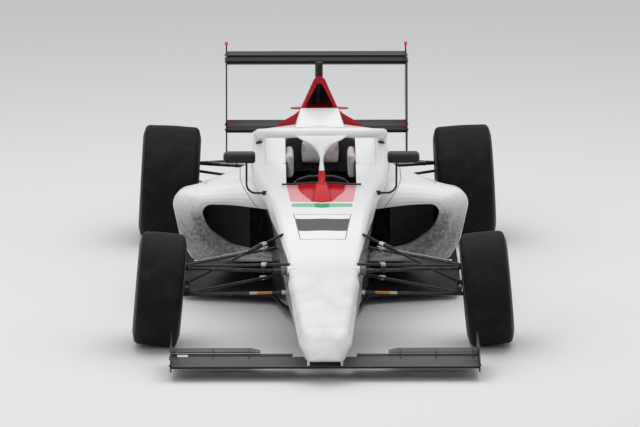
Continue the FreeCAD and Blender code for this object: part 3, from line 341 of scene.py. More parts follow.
# height of the edge between the white top and the dark flank: station, z
FLANK = ((-0.96, 0.175), (-0.78, 0.206), (-0.61, 0.245), (-0.41, 0.302), (-0.26, 0.345), (0.08, 0.442),
         (0.19, 0.470), (0.44, 0.503), (0.74, 0.528), (1.00, 0.520), (1.06, 0.500), (1.66, 0.510))


def flank_height(f):
    first, last = FLANK[0][0], FLANK[-1][0]
    stops = [((s - first) / (last - first), (z, z, z)) for s, z in FLANK]
    return f.node("ValToRGB", {"stops": stops}, {"Fac": (f.s - first) / (last - first)})


def flanked(f, colour):
    """The colour above the edge, and below it a dusty grey, partly painted shade of the sides, that goes over into
    bare carbon towards the bottom.
    """
    below = f.z - flank_height(f)
    # painted shade in part: the grey below the edge stands for the sides' shade
    flank = f.mix(f.step(below, -0.030, -0.110), dusty_shaded_grey(f), CARBON)
    return f.mix(f.step(below, 0.003, -0.003), colour, flank)


def tub_colours(f):
    """White tub with a faded red panel before the cockpit, a green stripe, a bare number panel, dark flanks that
    are partly painted shade, and painted shade on faces that look inwards or down.
    """
    s, off = f.s, f.off
    top = f.step(f.z - flank_height(f), 0.010, 0.014)
    wide = off - s * 0.075
    streaks, faded = faded_red(f)
    reach = f.step(s, 0.45, 0.70) * 0.066 + 0.046
    deep = f.step(off - reach + 0.016 * (streaks - 0.5), 0.005, -0.004)
    panel = f.step(s - off * 0.34, 0.471, 0.474) * f.step(s, 0.760, 0.756) * f.step(wide, 0.1125, 0.1105)
    stripe = f.step(s - off * 0.31, 0.411, 0.414) * f.step(s - off * 0.24, 0.464, 0.461) \
        * f.step(off, 0.1465, 0.1445)
    colour = f.mix(panel * top, patchy_white(f), f.mix(deep, faded, RED))
    colour = f.mix(stripe * top, colour, f.mix(f.step(off, 0.040, 0.030), (0.24, 0.50, 0.34), GREEN))
    # number panel: a dark band over a bare white plate, both inside one thin outline
    level = s - 1.42 * off * off
    edge = off - 0.0950 - 0.1287 * level
    inside = f.band(level, 0.112, 0.347, 0.001) * f.step(edge, 0.0005, -0.0015)
    core = f.band(level, 0.1155, 0.3435, 0.001) * f.step(edge, -0.0035, -0.0055)
    band = f.band(level, 0.189, 0.301, 0.0015)
    shade = f.mix(core, (0.16, 0.16, 0.165), f.mix(band, WHITE, (0.045, 0.048, 0.052)))
    colour = f.mix(inside * top, colour, shade)
    # painted shade: faces that look inwards or down, and the walls within the cockpit opening, go to near black
    # carbon
    inside = f.largest(f.step(f.x * f.face_x, -0.002, -0.006), f.step(f.face_z, -0.45, -0.55),
                       f.band(s, 0.741, 1.400, 0.001) * f.step(off, 0.1700, 0.1690))
    return f.mix(inside, flanked(f, colour), CARBON)


def tub_grooves(f):
    """Seam along which the upper and lower shells are joined."""
    return f.band(f.z - flank_height(f), -0.0012, 0.0012, 0.0008)


def pod_grooves(f):
    """Seam of the panel that runs over the inlet's lip and back along the top."""
    over = abs(f.off - 0.316 - 0.72 * (f.z - 0.490))
    lip = f.step(over, 0.0024, 0.0012) * f.step(f.s, 1.165, 1.160)
    top = f.step(f.z, 0.40, 0.42)
    back = f.step(abs(f.off - 0.392), 0.0024, 0.0012) * f.step(f.s, 1.160, 1.165) * f.step(f.s, 1.640, 1.635)
    return f.largest(lip, back * top, f.band(f.s, 1.6350, 1.6385, 0.0008) * top)


def nose_colours(f):
    """White nose with dusty grey flanks, painted partly as shade on its sideways-facing faces, chipped to its dark
    base round the tip.
    """
    colour = patchy_white(f)
    # painted shade: only faces that look sideways take the flank's colours
    side = f.step(abs(f.face_x), 0.45, 0.75) * f.step(f.s, -0.90, -0.80)
    colour = f.mix(side, colour, flanked(f, colour))
    tip = f.step(f.s, -0.80, -0.93)
    chips = f.step(f.cells(70.0), 0.16, 0.10) * f.step(f.noise(14.0, 3.0), 0.46, 0.52)
    return f.mix(chips * tip * 0.85, colour, (0.12, 0.12, 0.12))


def headrest_colours(f):
    """White collar whose inner side, round the driver's head, is painted dark as shade."""
    # painted shade on the collar's inner faces
    inner = f.step(f.off, 0.1715, 0.1705) * f.step(f.s, 1.397, 1.396)
    return f.mix(inner, patchy_white(f), (0.03, 0.03, 0.032))


def lip_finish(name):
    """Black deflector whose front, under its upper edge, carries on the colours of the panel that it stands on."""
    f = Finish(name, Specular_IOR_Level=0.3, Roughness=0.35)
    edge = 0.6614 - 0.9 * f.math("MINIMUM", f.off * f.off, 0.0122) - 0.075 * f.math("MAXIMUM", f.off - 0.11, 0.0)
    front = f.step(f.z - edge, -0.0065, -0.0080) * f.step(f.face_y, -0.3, -0.5)
    streaks, faded = faded_red(f)
    tinted = f.mix(f.step(f.off + 0.016 * (streaks - 0.5), 0.116, 0.110), faded, RED)
    tinted = f.mix(f.step(f.off, 0.166, 0.168), tinted, WHITE)
    return f.done(f.mix(front, CARBON, tinted), None, f.noise(300.0, 2.0), 0.00008, 0.5)


def pod_colours(f):
    """White pods that go over into brown road film and painted shade down their outer side, darker under the inlet,
    finely speckled.
    """
    # road film and painted shade: browner and darker lower down the outer side
    lower = f.step(f.z, 0.590, 0.330) * f.step(f.off, 0.28, 0.50)
    spray = f.step(f.noise(55.0, 6.0, 0.7), 0.30, 0.72)
    streak = f.noise(7.0, 4.0, 0.6, stretch=(1.0, 0.3, 1.6))
    film = lower * (0.58 + 0.28 * spray + 0.14 * streak)
    colour = f.mix(film, patchy_white(f), (0.075, 0.070, 0.061))
    speck = f.largest(stone_chips(f, 160.0, 0.55), stone_chips(f, 320.0, 0.55)) * (0.25 + 0.75 * lower)
    # darker under the inlet's front, broken up by spray
    edge = f.step(f.s, 1.012, 0.996) * f.step(f.z, 0.50, 0.42)
    return f.mix(f.largest(speck * 0.75, edge * (0.30 + 0.5 * spray)), colour, (0.05, 0.045, 0.04))


def blister_colours(f):
    """White where the blister lies on the tub's top, dusty grey like the flank beyond that, partly painted shade.
    """
    # the grey is partly painted shade, as on the flank
    return f.mix(f.step(f.off, 0.169, 0.173), WHITE, dusty_shaded_grey(f))


def halo_colours(f):
    """White hoop on a strut whose foot is red."""
    foot = f.step(f.z, 0.7285, 0.7265) * f.step(f.off, 0.11, 0.10)
    return f.mix(foot, patchy_white(f), RED)


def cover_colours(f):
    return f.mix(f.noise(3.0), (0.43, 0.004, 0.010), (0.38, 0.006, 0.012))


def flap_sheen(f):
    """Share of painted sheen: the front wing's rear element is paler than the one ahead of it."""
    return 0.25 + 0.75 * f.step(f.s, -0.592, -0.588)


def rear_sheen(f):
    """Share of painted sheen: black main plane, dark flap, and a beam wing that is pale on the rear part of its
    chord.
    """
    flap = f.step(f.s, 3.206, 3.210) * 0.35
    return f.largest(flap, f.step(f.s, 3.036, 3.048) * f.step(f.z, 0.70, 0.68))


def wing_tops(name, tint, sheen_share=None, ends=0.0, plate=False):
    """Carbon wing whose upward faces carry a painted grey sheen, as much as the given share says. It has reddish
    tips where ends is given, and a small bare white plate on the right if plate is set."""
    f = Finish(name, Specular_IOR_Level=0.15, Coat_Weight=0.04, Coat_Roughness=0.3)
    up = f.step(f.face_z, 0.45, 0.9)
    if sheen_share:
        up = up * sheen_share(f)
    worn = f.noise(30.0, 5.0, 0.6, stretch=(0.3, 1.0, 1.0))
    # painted sheen: faces that look up are lightened towards the grey, in patches
    shade = f.mix(up * (0.55 + 0.45 * worn), CARBON, tint)
    if ends:
        tip = f.step(f.off, ends - 0.01, ends + 0.01) * f.step(up, 0.5, 0.8)
        shade = f.mix(tip * 0.7, shade, (0.35, 0.06, 0.06))
    if plate:
        spot = f.band(f.x, -0.691, -0.640, 0.001) * f.band(f.s, -0.632, -0.596, 0.001)
        shade = f.mix(spot, shade, WHITE)
    return f.done(shade, 0.34 + 0.2 * worn, worn, 0.0002, 0.4)


def arm_steel(name):
    """Coated steel arms, with a band of amber wrap round each lower front leg."""
    f, shade, film = coated(name, (0.022, 0.022, 0.024), 0.25)
    wrap = f.band(f.off, 0.245, 0.350, 0.001) * f.step(f.z, 0.31, 0.30) * f.step(f.s, -0.02, -0.03)
    ribs = f.step(f.math("SINE", f.off * 2600.0), -0.2, 0.6)
    amber = f.mix(ribs * 0.5, (0.55, 0.22, 0.03), (0.30, 0.11, 0.015))
    amber = f.mix(f.step(f.off, 0.310, 0.316), amber, (0.52, 0.48, 0.34))
    relief = f.noise(600.0, 2.0) * 0.2 + wrap * (0.4 + 0.4 * ribs)
    return f.done(f.mix(wrap, shade, amber), 0.38 + 0.25 * film, relief, 0.0003, 0.6)


def webbing(name, colour):
    """Woven harness webbing: ribs across the strap and a denser selvedge of fine lines along it."""
    f = Finish(name, Roughness=0.72)
    ribs = f.step(f.math("SINE", (f.y + f.z) * 3200.0), -0.6, 0.6)
    lines = f.step(f.math("SINE", f.x * 4200.0), -0.6, 0.6)
    worn = f.noise(40.0, 4.0)
    shade = f.mix(ribs * lines * 0.5 + worn * 0.25, colour, darker(colour, 0.5))
    return f.done(shade, None, ribs * 0.6 + lines * 0.4, 0.0004, 0.8)


def pad_cloth(name):
    """Pale flame-proof cloth of the headrest pads: a fine weave, two sewn channels and light soiling."""
    f = Finish(name, Roughness=0.8)
    weave = f.step(f.math("SINE", f.y * 5200.0), -0.5, 0.5) * f.step(f.math("SINE", f.z * 5200.0), -0.5, 0.5)
    seam = f.largest(f.band(f.z, 0.6415, 0.6435, 0.0006), f.band(f.z, 0.6985, 0.7005, 0.0006))
    stitch = seam * f.step(f.math("SINE", (f.y + f.x) * 1500.0), 0.0, 0.3)
    soil = f.step(f.noise(14.0, 5.0, 0.6), 0.4, 0.75)
    shade = f.mix(weave * 0.35, (0.62, 0.55, 0.55), (0.46, 0.40, 0.41))
    shade = f.mix(soil * 0.3, shade, (0.32, 0.28, 0.27))
    shade = f.mix(stitch, shade, (0.80, 0.78, 0.76))
    return f.done(shade, None, weave * 0.25 + (1 - seam) * 0.75, 0.0012, 0.8)


def wheel_finishes():
    """Each wheel's tyre has a finish of its own, because its pattern runs round its own axle."""
    rim = satin_black("rim_black", (0.03, 0.03, 0.032), 0.33)
    disc = metal("disc_steel", (0.33, 0.33, 0.34), 0.3)
    finishes = {}
    for side, _ in SIDES:
        for end, radius, tread in TYRES:
            corner = "%s_%s" % (end, side)
            spin = JOINTS["wheel_%s_spin" % corner]
            finishes["tyre_" + corner] = tyre_rubber("rubber_" + corner, spin, radius, tread)
            finishes["rim_" + corner] = rim
            finishes["hub_" + corner] = disc
    return finishes


def paint_nodes():
    """Gives every CAD node its finish."""
    finishes = {
        "nose_cone": body_paint("nose_paint", base=nose_colours),
        "headrest": body_paint("headrest_paint", base=headrest_colours),
        "halo": body_paint("halo_paint", dust=0.06, base=halo_colours),
        "roll_hoop_fairing": body_paint("white_paint"),
        "engine_cover": body_paint("red_paint", dust=0.05, base=cover_colours),
        "monocoque": body_paint("tub_paint", dust=0.08, base=tub_colours, relief=tub_grooves),
        "cockpit_lip": lip_finish("lip_black"),
        "camera_mast": satin_black("mast_black"),
        "floor": carbon("floor_carbon", 0.45),
        "skid_plank": plank_wood("skid_wood"),
        "front_wing_main_plane": wing_tops("front_wing_finish", (0.13, 0.135, 0.14)),
        "front_wing_flaps": wing_tops("flap_finish", (0.16, 0.165, 0.17), flap_sheen, plate=True),
        "rear_wing_planes": wing_tops("rear_wing_finish", (0.125, 0.13, 0.13), rear_sheen, ends=0.432),
        "tail_lights": lamp_red("lamp_red"),
        "engine": metal("cast_engine", (0.20, 0.20, 0.21), 0.55),
        "gearbox": metal("cast_gearbox", (0.30, 0.30, 0.31), 0.5),
        "exhaust": metal("pipe_steel", (0.42, 0.38, 0.34), 0.3),
        "radiators": metal("core_aluminium", (0.35, 0.36, 0.37), 0.45),
        "front_wishbones": arm_steel("arm_steel"),
        "steering_rack": metal("rack_steel", (0.06, 0.06, 0.062)),
        "steering_wheel": carbon("wheel_carbon", 0.38),
    }
    shared = (
        (body_paint("pod_paint", dust=0.15, base=pod_colours, relief=pod_grooves), "sidepod_left sidepod_right"),
        (carbon("carbon_fibre"), "diffuser front_wing_endplates rear_wing_endplates mirrors seat rear_crash_box"),
        (satin_black("coated_steel"), "front_pushrods rear_wishbones rear_links tie_rods"),
        (metal("upright_alloy", (0.50, 0.51, 0.53)), "rear_uprights knuckle_left knuckle_right"),
    )
    for material, names in shared:
        finishes.update(dict.fromkeys(names.split(), material))
    finishes.update(wheel_finishes())
    for name, material in finishes.items():
        mesh = NODES[name].data
        mesh.materials.clear()
        mesh.materials.append(material)


# ---- modelling
FACING = 0.9            # a face looks along an axis if its normal has more than this of it
MIRROR = Matrix.Diagonal((-1, 1, 1, 1))


def turned(degrees, axis="Z"):
    return Matrix.Rotation(math.radians(degrees), 4, axis)


def moved(*place):
    return Matrix.Translation(place)


def add(kind, stretch=None, **size):
    """Starts a piece from a primitive: everything else deselected, its place and turn in its mesh, in edit mode."""
    bpy.ops.object.select_all(action="DESELECT")
    getattr(bpy.ops.mesh, "primitive_%s_add" % kind)(**size)
    piece = bpy.context.object
    if stretch:
        piece.scale = stretch
    bpy.ops.object.transform_apply(location=True, rotation=True, scale=True)
    bpy.ops.object.mode_set(mode="EDIT")
    return piece


def pick(piece, test, kind="FACE"):
    """Selects the faces whose middle and normal pass the test, or the edges whose middle and direction do."""
    bpy.ops.mesh.select_mode(type=kind)
    bpy.ops.mesh.select_all(action="DESELECT")
    mesh = bmesh.from_edit_mesh(piece.data)
    if kind == "FACE":
        for face in mesh.faces:
            if test(face.calc_center_median(), face.normal):
                face.select_set(True)
    else:
        for edge in mesh.edges:
            a, b = (vert.co for vert in edge.verts)
            if test((a + b) / 2, (b - a).normalized()):
                edge.select_set(True)
    bmesh.update_edit_mesh(piece.data)


def block(size, location=(0, 0, 0)):
    return add("cube", size, size=1, location=location)


def rod(vertices, radius, depth, middle=0.0):
    """A cylinder along z."""
    return add("cylinder", vertices=vertices, radius=radius, depth=depth, location=(0, 0, middle))


def inset(thickness, depth=0.0, each=False):
    bpy.ops.mesh.inset(thickness=thickness, depth=depth, use_individual=each)


def steps(piece, *sizes, axis=2):
    """Steps on the side that faces along an axis: each is an inset's width and how far it rises."""
    pick(piece, lambda c, n: n[axis] > FACING)
    for size in sizes:
        inset(*size)


def swell(x, y, centre=(0, 0, 0)):
    """Makes what is selected this many times as wide along x and y."""
    bpy.ops.transform.resize(value=(x, y, 1.0), center_override=centre)


def extrude(move):
    bpy.ops.mesh.extrude_region_move(TRANSFORM_OT_translate={"value": move})


def slices(axis, places):
    """Cuts the piece being edited across an axis at each place."""
    for place in places:
        spot = [0.0, 0.0, 0.0]
        spot[axis] = place
        bpy.ops.mesh.select_all(action="SELECT")
        bpy.ops.mesh.bisect(plane_co=spot, plane_no=[float(i == axis) for i in range(3)])


def use(piece):
    """Makes a piece the only selected one and the active one, out of edit mode."""
    if bpy.context.object and bpy.context.object.mode == "EDIT":
        bpy.ops.object.mode_set(mode="OBJECT")
    bpy.ops.object.select_all(action="DESELECT")
    piece.select_set(True)
    bpy.context.view_layer.objects.active = piece


def modify(piece, kind, **settings):
    """Adds a modifier and applies it."""
    use(piece)
    modifier = piece.modifiers.new(kind.lower(), kind)
    for key, value in settings.items():
        setattr(modifier, key, value)
    bpy.ops.object.modifier_apply(modifier=modifier.name)


def finished(piece, name, material, body="chassis", bevel=0.0, segments=2, angle=35.0, place=None):
    """Names a modelled piece, rounds its edges, puts it in its place and has it ride on a body."""
    use(piece)
    if bevel:
        modify(piece, "BEVEL", width=bevel, segments=segments, limit_method="ANGLE", angle_limit=math.radians(30))
    bpy.ops.object.shade_smooth_by_angle(angle=math.radians(angle))
    if place:
        piece.data.transform(place)
    piece.name = piece.data.name = name
    piece.data.materials.clear()
    piece.data.materials.append(material)
    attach(piece, body)
    return piece


def copied(piece, name, move, body="chassis", material=None):
    """A copy with its own mesh, moved by a matrix. A mirroring matrix turns it inside out, which is put right."""
    twin = piece.copy()
    twin.data = piece.data.copy()
    twin.name = twin.data.name = name
    twin.data.transform(move)
    if move.determinant() < 0:
        twin.data.flip_normals()
    if material:
        twin.data.materials[0] = material
    bpy.context.scene.collection.objects.link(twin)
    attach(twin, body)
    return twin


def mirrored(piece, body="chassis"):
    """Copies a finished piece to the other side of the car, under that side's name and on that side's body."""
    sides = ("_left", "_right") if "_left" in piece.name else ("_right", "_left")
    copied(piece, piece.name.replace(*sides), MIRROR, body.replace(*sides))


def spread(piece, name, places, body="chassis"):
    """The piece at every place of a list of matrices: the first is the piece itself, and the rest are copies."""
    for number, place in enumerate(places[1:], 2):
        copied(piece, "%s_%d" % (name, number), place, body)
    piece.data.transform(places[0])
    piece.name = piece.data.name = name + "_1"


def frame_at(origin, up, ahead=(0, -1, 0)):
    """Axes at a point: z along up, y as near to ahead as it can be."""
    z = Vector(up).normalized()
    y = Vector(ahead) - z * z.dot(Vector(ahead))
    y.normalize()
    turn = Matrix((y.cross(z), y, z)).transposed().to_4x4()
    return Matrix.Translation(Vector(origin)) @ turn


def both_sides(places):
    """The places and their mirror images, which stay right-handed so that a round piece isn't turned inside out."""
    return [m for place in places for m in (place, MIRROR @ place @ MIRROR)]


def surface(node, start, aim):
    """Axes on a CAD node where a line from start first meets it, with z out of its surface."""
    hit, place, normal, _ = NODES[node].ray_cast(Vector(start), Vector(aim).normalized())
    if not hit:
        raise ValueError("nothing of %s there" % node)
    return frame_at(place, normal)


# ---- cockpit
WHEEL = "steering_wheel"
HUB = Vector(JOINTS["steering_wheel_turn"]["pos_m"])
COLUMN = Vector(JOINTS["steering_wheel_turn"]["axis"])
PLATE = frame_at(HUB + COLUMN * 0.016, COLUMN, (0, 0, 1))     # driver's side of the steering wheel's plate


def model_display(black, glass):
    """Housing on the steering wheel's plate with a sunk blank screen."""
    housing = block((0.104, 0.056, 0.012), (0, 0.016, 0.006))
    steps(housing, (0.007,), (0.001, -0.003))
    finished(housing, "wheel_display", black, WHEEL, 0.0018, 3, place=PLATE)
    screen = block((0.086, 0.037, 0.0012), (0, 0.016, 0.0098))
    steps(screen, (0.0015, 0.0003))
    finished(screen, "wheel_screen", glass, WHEEL, 0.0004, 1, place=PLATE)


def model_controls(rubber, red, blue, silver):
    """Thumb buttons and turning knobs of the steering wheel."""
    button = rod(20, 0.0085, 0.006, 0.003)
    steps(button, (0.0022,), (0.0004, -0.0012), (0.0004, 0.0030))
    finished(button, "wheel_button_1", red, WHEEL, 0.0006)
    places = [PLATE @ moved(u, v, 0) for u, v in (
        (-0.052, 0.052), (0.052, 0.052), (-0.036, -0.020), (0.036, -0.020), (-0.050, -0.050), (0.050, -0.050))]
    for number, (place, shade) in enumerate(zip(places[1:], (red, blue, rubber, silver, rubber)), 2):
        copied(button, "wheel_button_%d" % number, place, WHEEL, shade)
    button.data.transform(places[0])
    knob = rod(24, 0.0105, 0.012, 0.006)
    pick(knob, lambda c, n: abs(n.z) < 0.1 and round(math.degrees(math.atan2(n.y, n.x)) / 15) % 2 == 0)
    inset(0.0003, -0.0009, True)
    steps(knob, (0.0016,), (0.0010, -0.0008))
    finished(knob, "wheel_knob", rubber, WHEEL, 0.0003, 1)
    spread(knob, "wheel_knob", [PLATE @ moved(u, -0.052, 0) for u in (-0.026, 0, 0.026)], WHEEL)


def model_grips(suede, black):
    """Suede grips that narrow under the fingers, and the shift paddles behind the wheel."""
    grip = rod(24, 0.0172, 0.074)
    slices(2, (-0.030, -0.020, -0.010, 0, 0.010, 0.020, 0.030))
    for height in (-0.030, -0.010, 0.010, 0.030):
        pick(grip, lambda c, n: abs(c.z - height) < 0.001 and abs(n.z) < 0.1, "EDGE")
        swell(0.92, 0.92, centre=(0, 0, height))
    pick(grip, lambda c, n: abs(n.z) > FACING)
    inset(0.003)
    finished(grip, "wheel_grip_right", suede, WHEEL, 0.003, 3,
             place=PLATE @ moved(0.117, 0.004, -0.008) @ turned(-90, "X"))
    mirrored(grip, WHEEL)
    paddle = block((0.052, 0.040, 0.003), (0.078, 0.012, -0.034))
    pick(paddle, lambda c, n: n.x < -FACING)
    extrude((0.030, 0.004, -0.004))
    pick(paddle, lambda c, n: n.x > FACING)
    extrude((-0.020, 0.004, 0.003))
    finished(paddle, "shift_paddle_right", black, WHEEL, 0.0012, place=PLATE)
    mirrored(paddle, WHEEL)


# path of each harness strap: x, station and height
SHOULDER = ((0.078, 1.626, 0.556), (0.078, 1.575, 0.562), (0.076, 1.535, 0.566), (0.074, 1.516, 0.560),
            (0.072, 1.500, 0.538), (0.064, 1.440, 0.444), (0.054, 1.360, 0.320), (0.046, 1.290, 0.212),
            (0.040, 1.246, 0.146), (0.032, 1.210, 0.112), (0.024, 1.172, 0.105))
LAP = ((0.152, 1.222, 0.196), (0.140, 1.212, 0.158), (0.116, 1.200, 0.122), (0.086, 1.184, 0.107),
       (0.040, 1.152, 0.105))
CROTCH = ((0.0, 0.962, 0.100), (0.0, 0.990, 0.102), (0.0, 1.050, 0.103), (0.0, 1.112, 0.106))
BUCKLE = moved(*at(0, 1.142, 0.108))
STRAP_THICKNESS = 0.0016


def model_strap(name, width, path, webbing, across=0):
    """Webbing laid along a path of points as a flat strip. Its width lies along x, or
    along y if across is 1."""
    points = [at(*spot) for spot in path]
    start, forth = points[0], 1 - across
    ahead = 1 if (points[1] - start)[forth] >= 0 else -1
    spans = [0.001, 0.001, 1]
    spans[across] = width
    strip = add("plane", spans, size=1, location=start)
    pick(strip, lambda c, n: abs(n[across]) > FACING and (c[forth] - start[forth]) * ahead > 0, "EDGE")
    for here, there in zip(points, points[1:]):
        extrude(there - here)
    modify(strip, "SUBSURF", levels=2, render_levels=2)
    modify(strip, "SOLIDIFY", thickness=STRAP_THICKNESS, offset=0.0)
    finished(strip, name, webbing)


def model_harness(webbing, steel, red):
    """Five straps that meet in a turning buckle, with adjusters on the shoulder straps."""
    for side, sign in SIDES:
        model_strap("shoulder_strap_" + side, 0.050, [(sign * x, s, z) for x, s, z in SHOULDER], webbing)
        model_strap("lap_strap_" + side, 0.046, [(sign * x, s, z) for x, s, z in LAP], webbing, across=1)
    model_strap("crotch_strap", 0.044, CROTCH, webbing)
    buckle = rod(32, 0.031, 0.014)
    steps(buckle, (0.004,), (0.002, 0.004), (0.007,), (0.001, -0.003))
    finished(buckle, "harness_buckle", steel, bevel=0.0012, segments=3, place=BUCKLE)
    handle = block((0.044, 0.012, 0.007), (0, 0, 0.012))
    slices(0, (-0.012, 0.012))
    pick(handle, lambda c, n: abs(c.x) > 0.011 and abs(n.y) > FACING)
    inset(0.002, -0.0015, True)
    finished(handle, "buckle_handle", red, bevel=0.0015, segments=3, place=BUCKLE @ turned(35))
    tongue = block((0.026, 0.034, 0.0025), (0, 0.042, -0.001))
    pick(tongue, lambda c, n: n.y > FACING)
    extrude((0, 0.008, 0))
    swell(1.7, 1.0, centre=(0, 0.067, 0))
    finished(tongue, "buckle_tongue", steel, bevel=0.0008)
    spread(tongue, "buckle_tongue", [BUCKLE @ turned(angle) for angle in (180, 28, -28, 112, -112)])
    adjuster = block((0.060, 0.030, 0.005))
    steps(adjuster, (0.006,), (0.001, -0.002))
    finished(adjuster, "strap_adjuster", steel, bevel=0.0012)
    rise, run = 0.840, 0.543      # the shoulder straps' slope
    spread(adjuster, "strap_adjuster", [frame_at(at(x, 1.400, 0.389), (0, -rise, run), (0, run, rise))
                                        for x in (0.059, -0.059)])


PUFF = 0.006            # as far as a pad's cover may move as it is blown up
PUFF_FRAMES = 15


def model_pad(name, size, middle, cloth):
    """Foam pad in a sewn cloth cover: a block that is blown up a little as cloth, then smoothed."""
    pad = block([0.94 * s for s in size], middle)
    modify(pad, "BEVEL", width=0.008, segments=3)
    modify(pad, "REMESH", mode="VOXEL", voxel_size=0.005)
    still = [vert.co.copy() for vert in pad.data.vertices]
    use(pad)
    sewn = pad.modifiers.new("cloth", "CLOTH")
    sewn.settings.use_pressure = True
    sewn.settings.uniform_pressure_force = 4.0
    sewn.settings.effector_weights.gravity = 0.0
    scene = bpy.context.scene
    for frame_number in range(1, PUFF_FRAMES + 1):
        scene.frame_set(frame_number)
    bpy.ops.object.modifier_apply(modifier=sewn.name)
    scene.frame_set(1)
    for vert, old in zip(pad.data.vertices, still):
        move = vert.co - old
        if move.length > PUFF:
            vert.co = old + move * (PUFF / move.length)
    modify(pad, "SMOOTH", factor=0.5, iterations=2)
    modify(pad, "SUBSURF", levels=1, render_levels=1)
    finished(pad, name, cloth, angle=60)


def model_headrest_pads(cloth):
    """Pads at both sides of the helmet and behind it, inside the collar."""
    for side, sign in SIDES:
        model_pad("headrest_pad_" + side, (0.030, 0.290, 0.120), at(sign * 0.152, 1.215, 0.668), cloth)
    model_pad("headrest_pad_rear", (0.190, 0.036, 0.110), at(0, 1.372, 0.690), cloth)


def model_mirror_glass(glass):
    """Glass plate in each mirror's housing."""
    plate = block((0.137, 0.0016, 0.033), at(0.3965, 0.8022, 0.7684))
    steps(plate, (0.0025, 0.0006), axis=1)
    finished(plate, "mirror_glass_left", glass, bevel=0.0005)
    mirrored(plate)


# ---- suspension fittings
# outer and inner ends of the arms' legs on the left: x, station and height
FRONT_TOP, FRONT_FOOT = (0.684, 0.012, 0.382), (0.688, -0.008, 0.248)
FRONT_LEGS = ((FRONT_TOP, (0.160, -0.100, 0.412)), (FRONT_TOP, (0.190, 0.300, 0.422)),
              (FRONT_FOOT, (0.150, -0.100, 0.278)), (FRONT_FOOT, (0.160, 0.300, 0.294)),
              ((0.646, -0.002, 0.304), (0.192, 0.208, 0.497)))
REAR_TOP, REAR_FOOT = (0.632, 2.765, 0.388), (0.642, 2.740, 0.188)
REAR_LEGS = ((REAR_TOP, (0.060, 2.480, 0.402)), (REAR_TOP, (0.050, 2.900, 0.392)),
             (REAR_FOOT, (0.080, 2.468, 0.172)), (REAR_FOOT, (0.060, 2.840, 0.190)),
             ((0.624, 2.662, 0.368), (0.080, 2.430, 0.330)), ((0.605, 2.728, 0.216), (0.070, 2.600, 0.385)))
TIE_ROD = ((0.236, -0.120, 0.384), (0.684, -0.060, 0.384))


def on_leg(leg, share):
    """Axes on a leg: share 0 is its outer end and 1 its inner end. z runs inwards and y forwards."""
    outer, inner = at(*leg[0]), at(*leg[1])
    return frame_at(outer.lerp(inner, share), inner - outer)


def model_leg_clamps(alloy):
    """Machined end sleeve of each arm's leg, with the two screws that close it."""
    clamp = block((0.0158, 0.032, 0.024))
    slices(2, (-0.006, 0.003))
    pick(clamp, lambda c, n: c.z < -0.006 and abs(n.z) < 0.5)
    swell(1.12, 1.05)
    pick(clamp, lambda c, n: abs(n.x) > FACING and -0.006 < c.z < 0.003)
    inset(0.0018, -0.0010, True)
    pick(clamp, lambda c, n: n.x > FACING and c.z < -0.006)
    inset(0.0014, 0.0012, True)
    finished(clamp, "leg_sleeve", alloy, bevel=0.0011)
    shares = (0.77, 0.81, 0.94, 0.77, 0.80)
    places = [on_leg(leg, share) for leg, share in zip(FRONT_LEGS, shares)]
    places += [on_leg(leg, 0.80) for leg in REAR_LEGS]
    spread(clamp, "leg_sleeve", both_sides(places))


def model_rod_nuts(steel):
    """Lock nuts and threaded sleeves at both ends of the tie rods."""
    nut = rod(6, 0.0135, 0.009)
    pick(nut, lambda c, n: abs(n.z) > FACING)
    inset(0.0018, 0.0006, True)
    pick(nut, lambda c, n: n.z > FACING and c.z > 0.005)
    inset(0.0012, 0.014)
    finished(nut, "rod_nut", steel, "steering_gear", 0.0006)
    inner, outer = at(*TIE_ROD[0]), at(*TIE_ROD[1])
    places = [frame_at(inner.lerp(outer, 0.10), outer - inner), frame_at(inner.lerp(outer, 0.90), inner - outer)]
    spread(nut, "rod_nut", both_sides(places), "steering_gear")


def model_brake_lines(steel, black):
    """Hard brake pipe clipped along the top of each upper arm, with its union at both ends."""
    for name, leg, low, high in (("front", FRONT_LEGS[1], 0.16, 0.84), ("rear", REAR_LEGS[0], 0.14, 0.84)):
        pipe = rod(12, 0.0024, (at(*leg[1]) - at(*leg[0])).length * (high - low))
        pick(pipe, lambda c, n: abs(n.z) > FACING)
        inset(0.0001, 0.0, True)
        swell(2.1, 2.1)
        pick(pipe, lambda c, n: abs(n.z) > FACING)
        inset(0.0001, 0.010, True)
        place = moved(0, 0, 0.0095) @ on_leg(leg, (low + high) / 2)
        finished(pipe, "brake_pipe_%s_left" % name, steel, bevel=0.0003, place=place)
        mirrored(pipe)
        clip = block((0.019, 0.010, 0.008))
        steps(clip, (0.002, 0.002), axis=0)
        pick(clip, lambda c, n: abs(n.y) > FACING)
        extrude((0, 0, 0))
        swell(0.7, 1.9)
        finished(clip, "pipe_clip_" + name, black, bevel=0.0012)
        spread(clip, "pipe_clip_" + name, both_sides([on_leg(leg, low + (high - low) * step / 3 + 0.02)
                                                      for step in range(3)]))


def middle_of(low, high):
    return [(a + b) / 2 for a, b in zip(low, high)]


def model_rack_blisters(paint):
    """Blister over the steering rack where it leaves each side of the tub, sunk into the top at its inner end."""
    shell = add("cylinder", vertices=36, radius=0.0185, depth=0.130, end_fill_type="NOTHING")
    slices(2, (-0.052, -0.038, -0.020, 0.050))
    for height, share in ((-0.065, 0.90), (-0.052, 0.95), (-0.038, 0.98), (0.065, 0.97)):
        pick(shell, lambda c, n: abs(c.z - height) < 0.0005, "EDGE")
        swell(share, share, centre=(0, 0, height))
    modify(shell, "SOLIDIFY", thickness=0.004, offset=1.0)
    _, y, z = middle_of(*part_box("steering_rack"))
    place = moved(0.135, y, z) @ turned(90, "Y")
    finished(shell, "rack_blister_left", paint, bevel=0.0015, place=place)
    mirrored(shell)


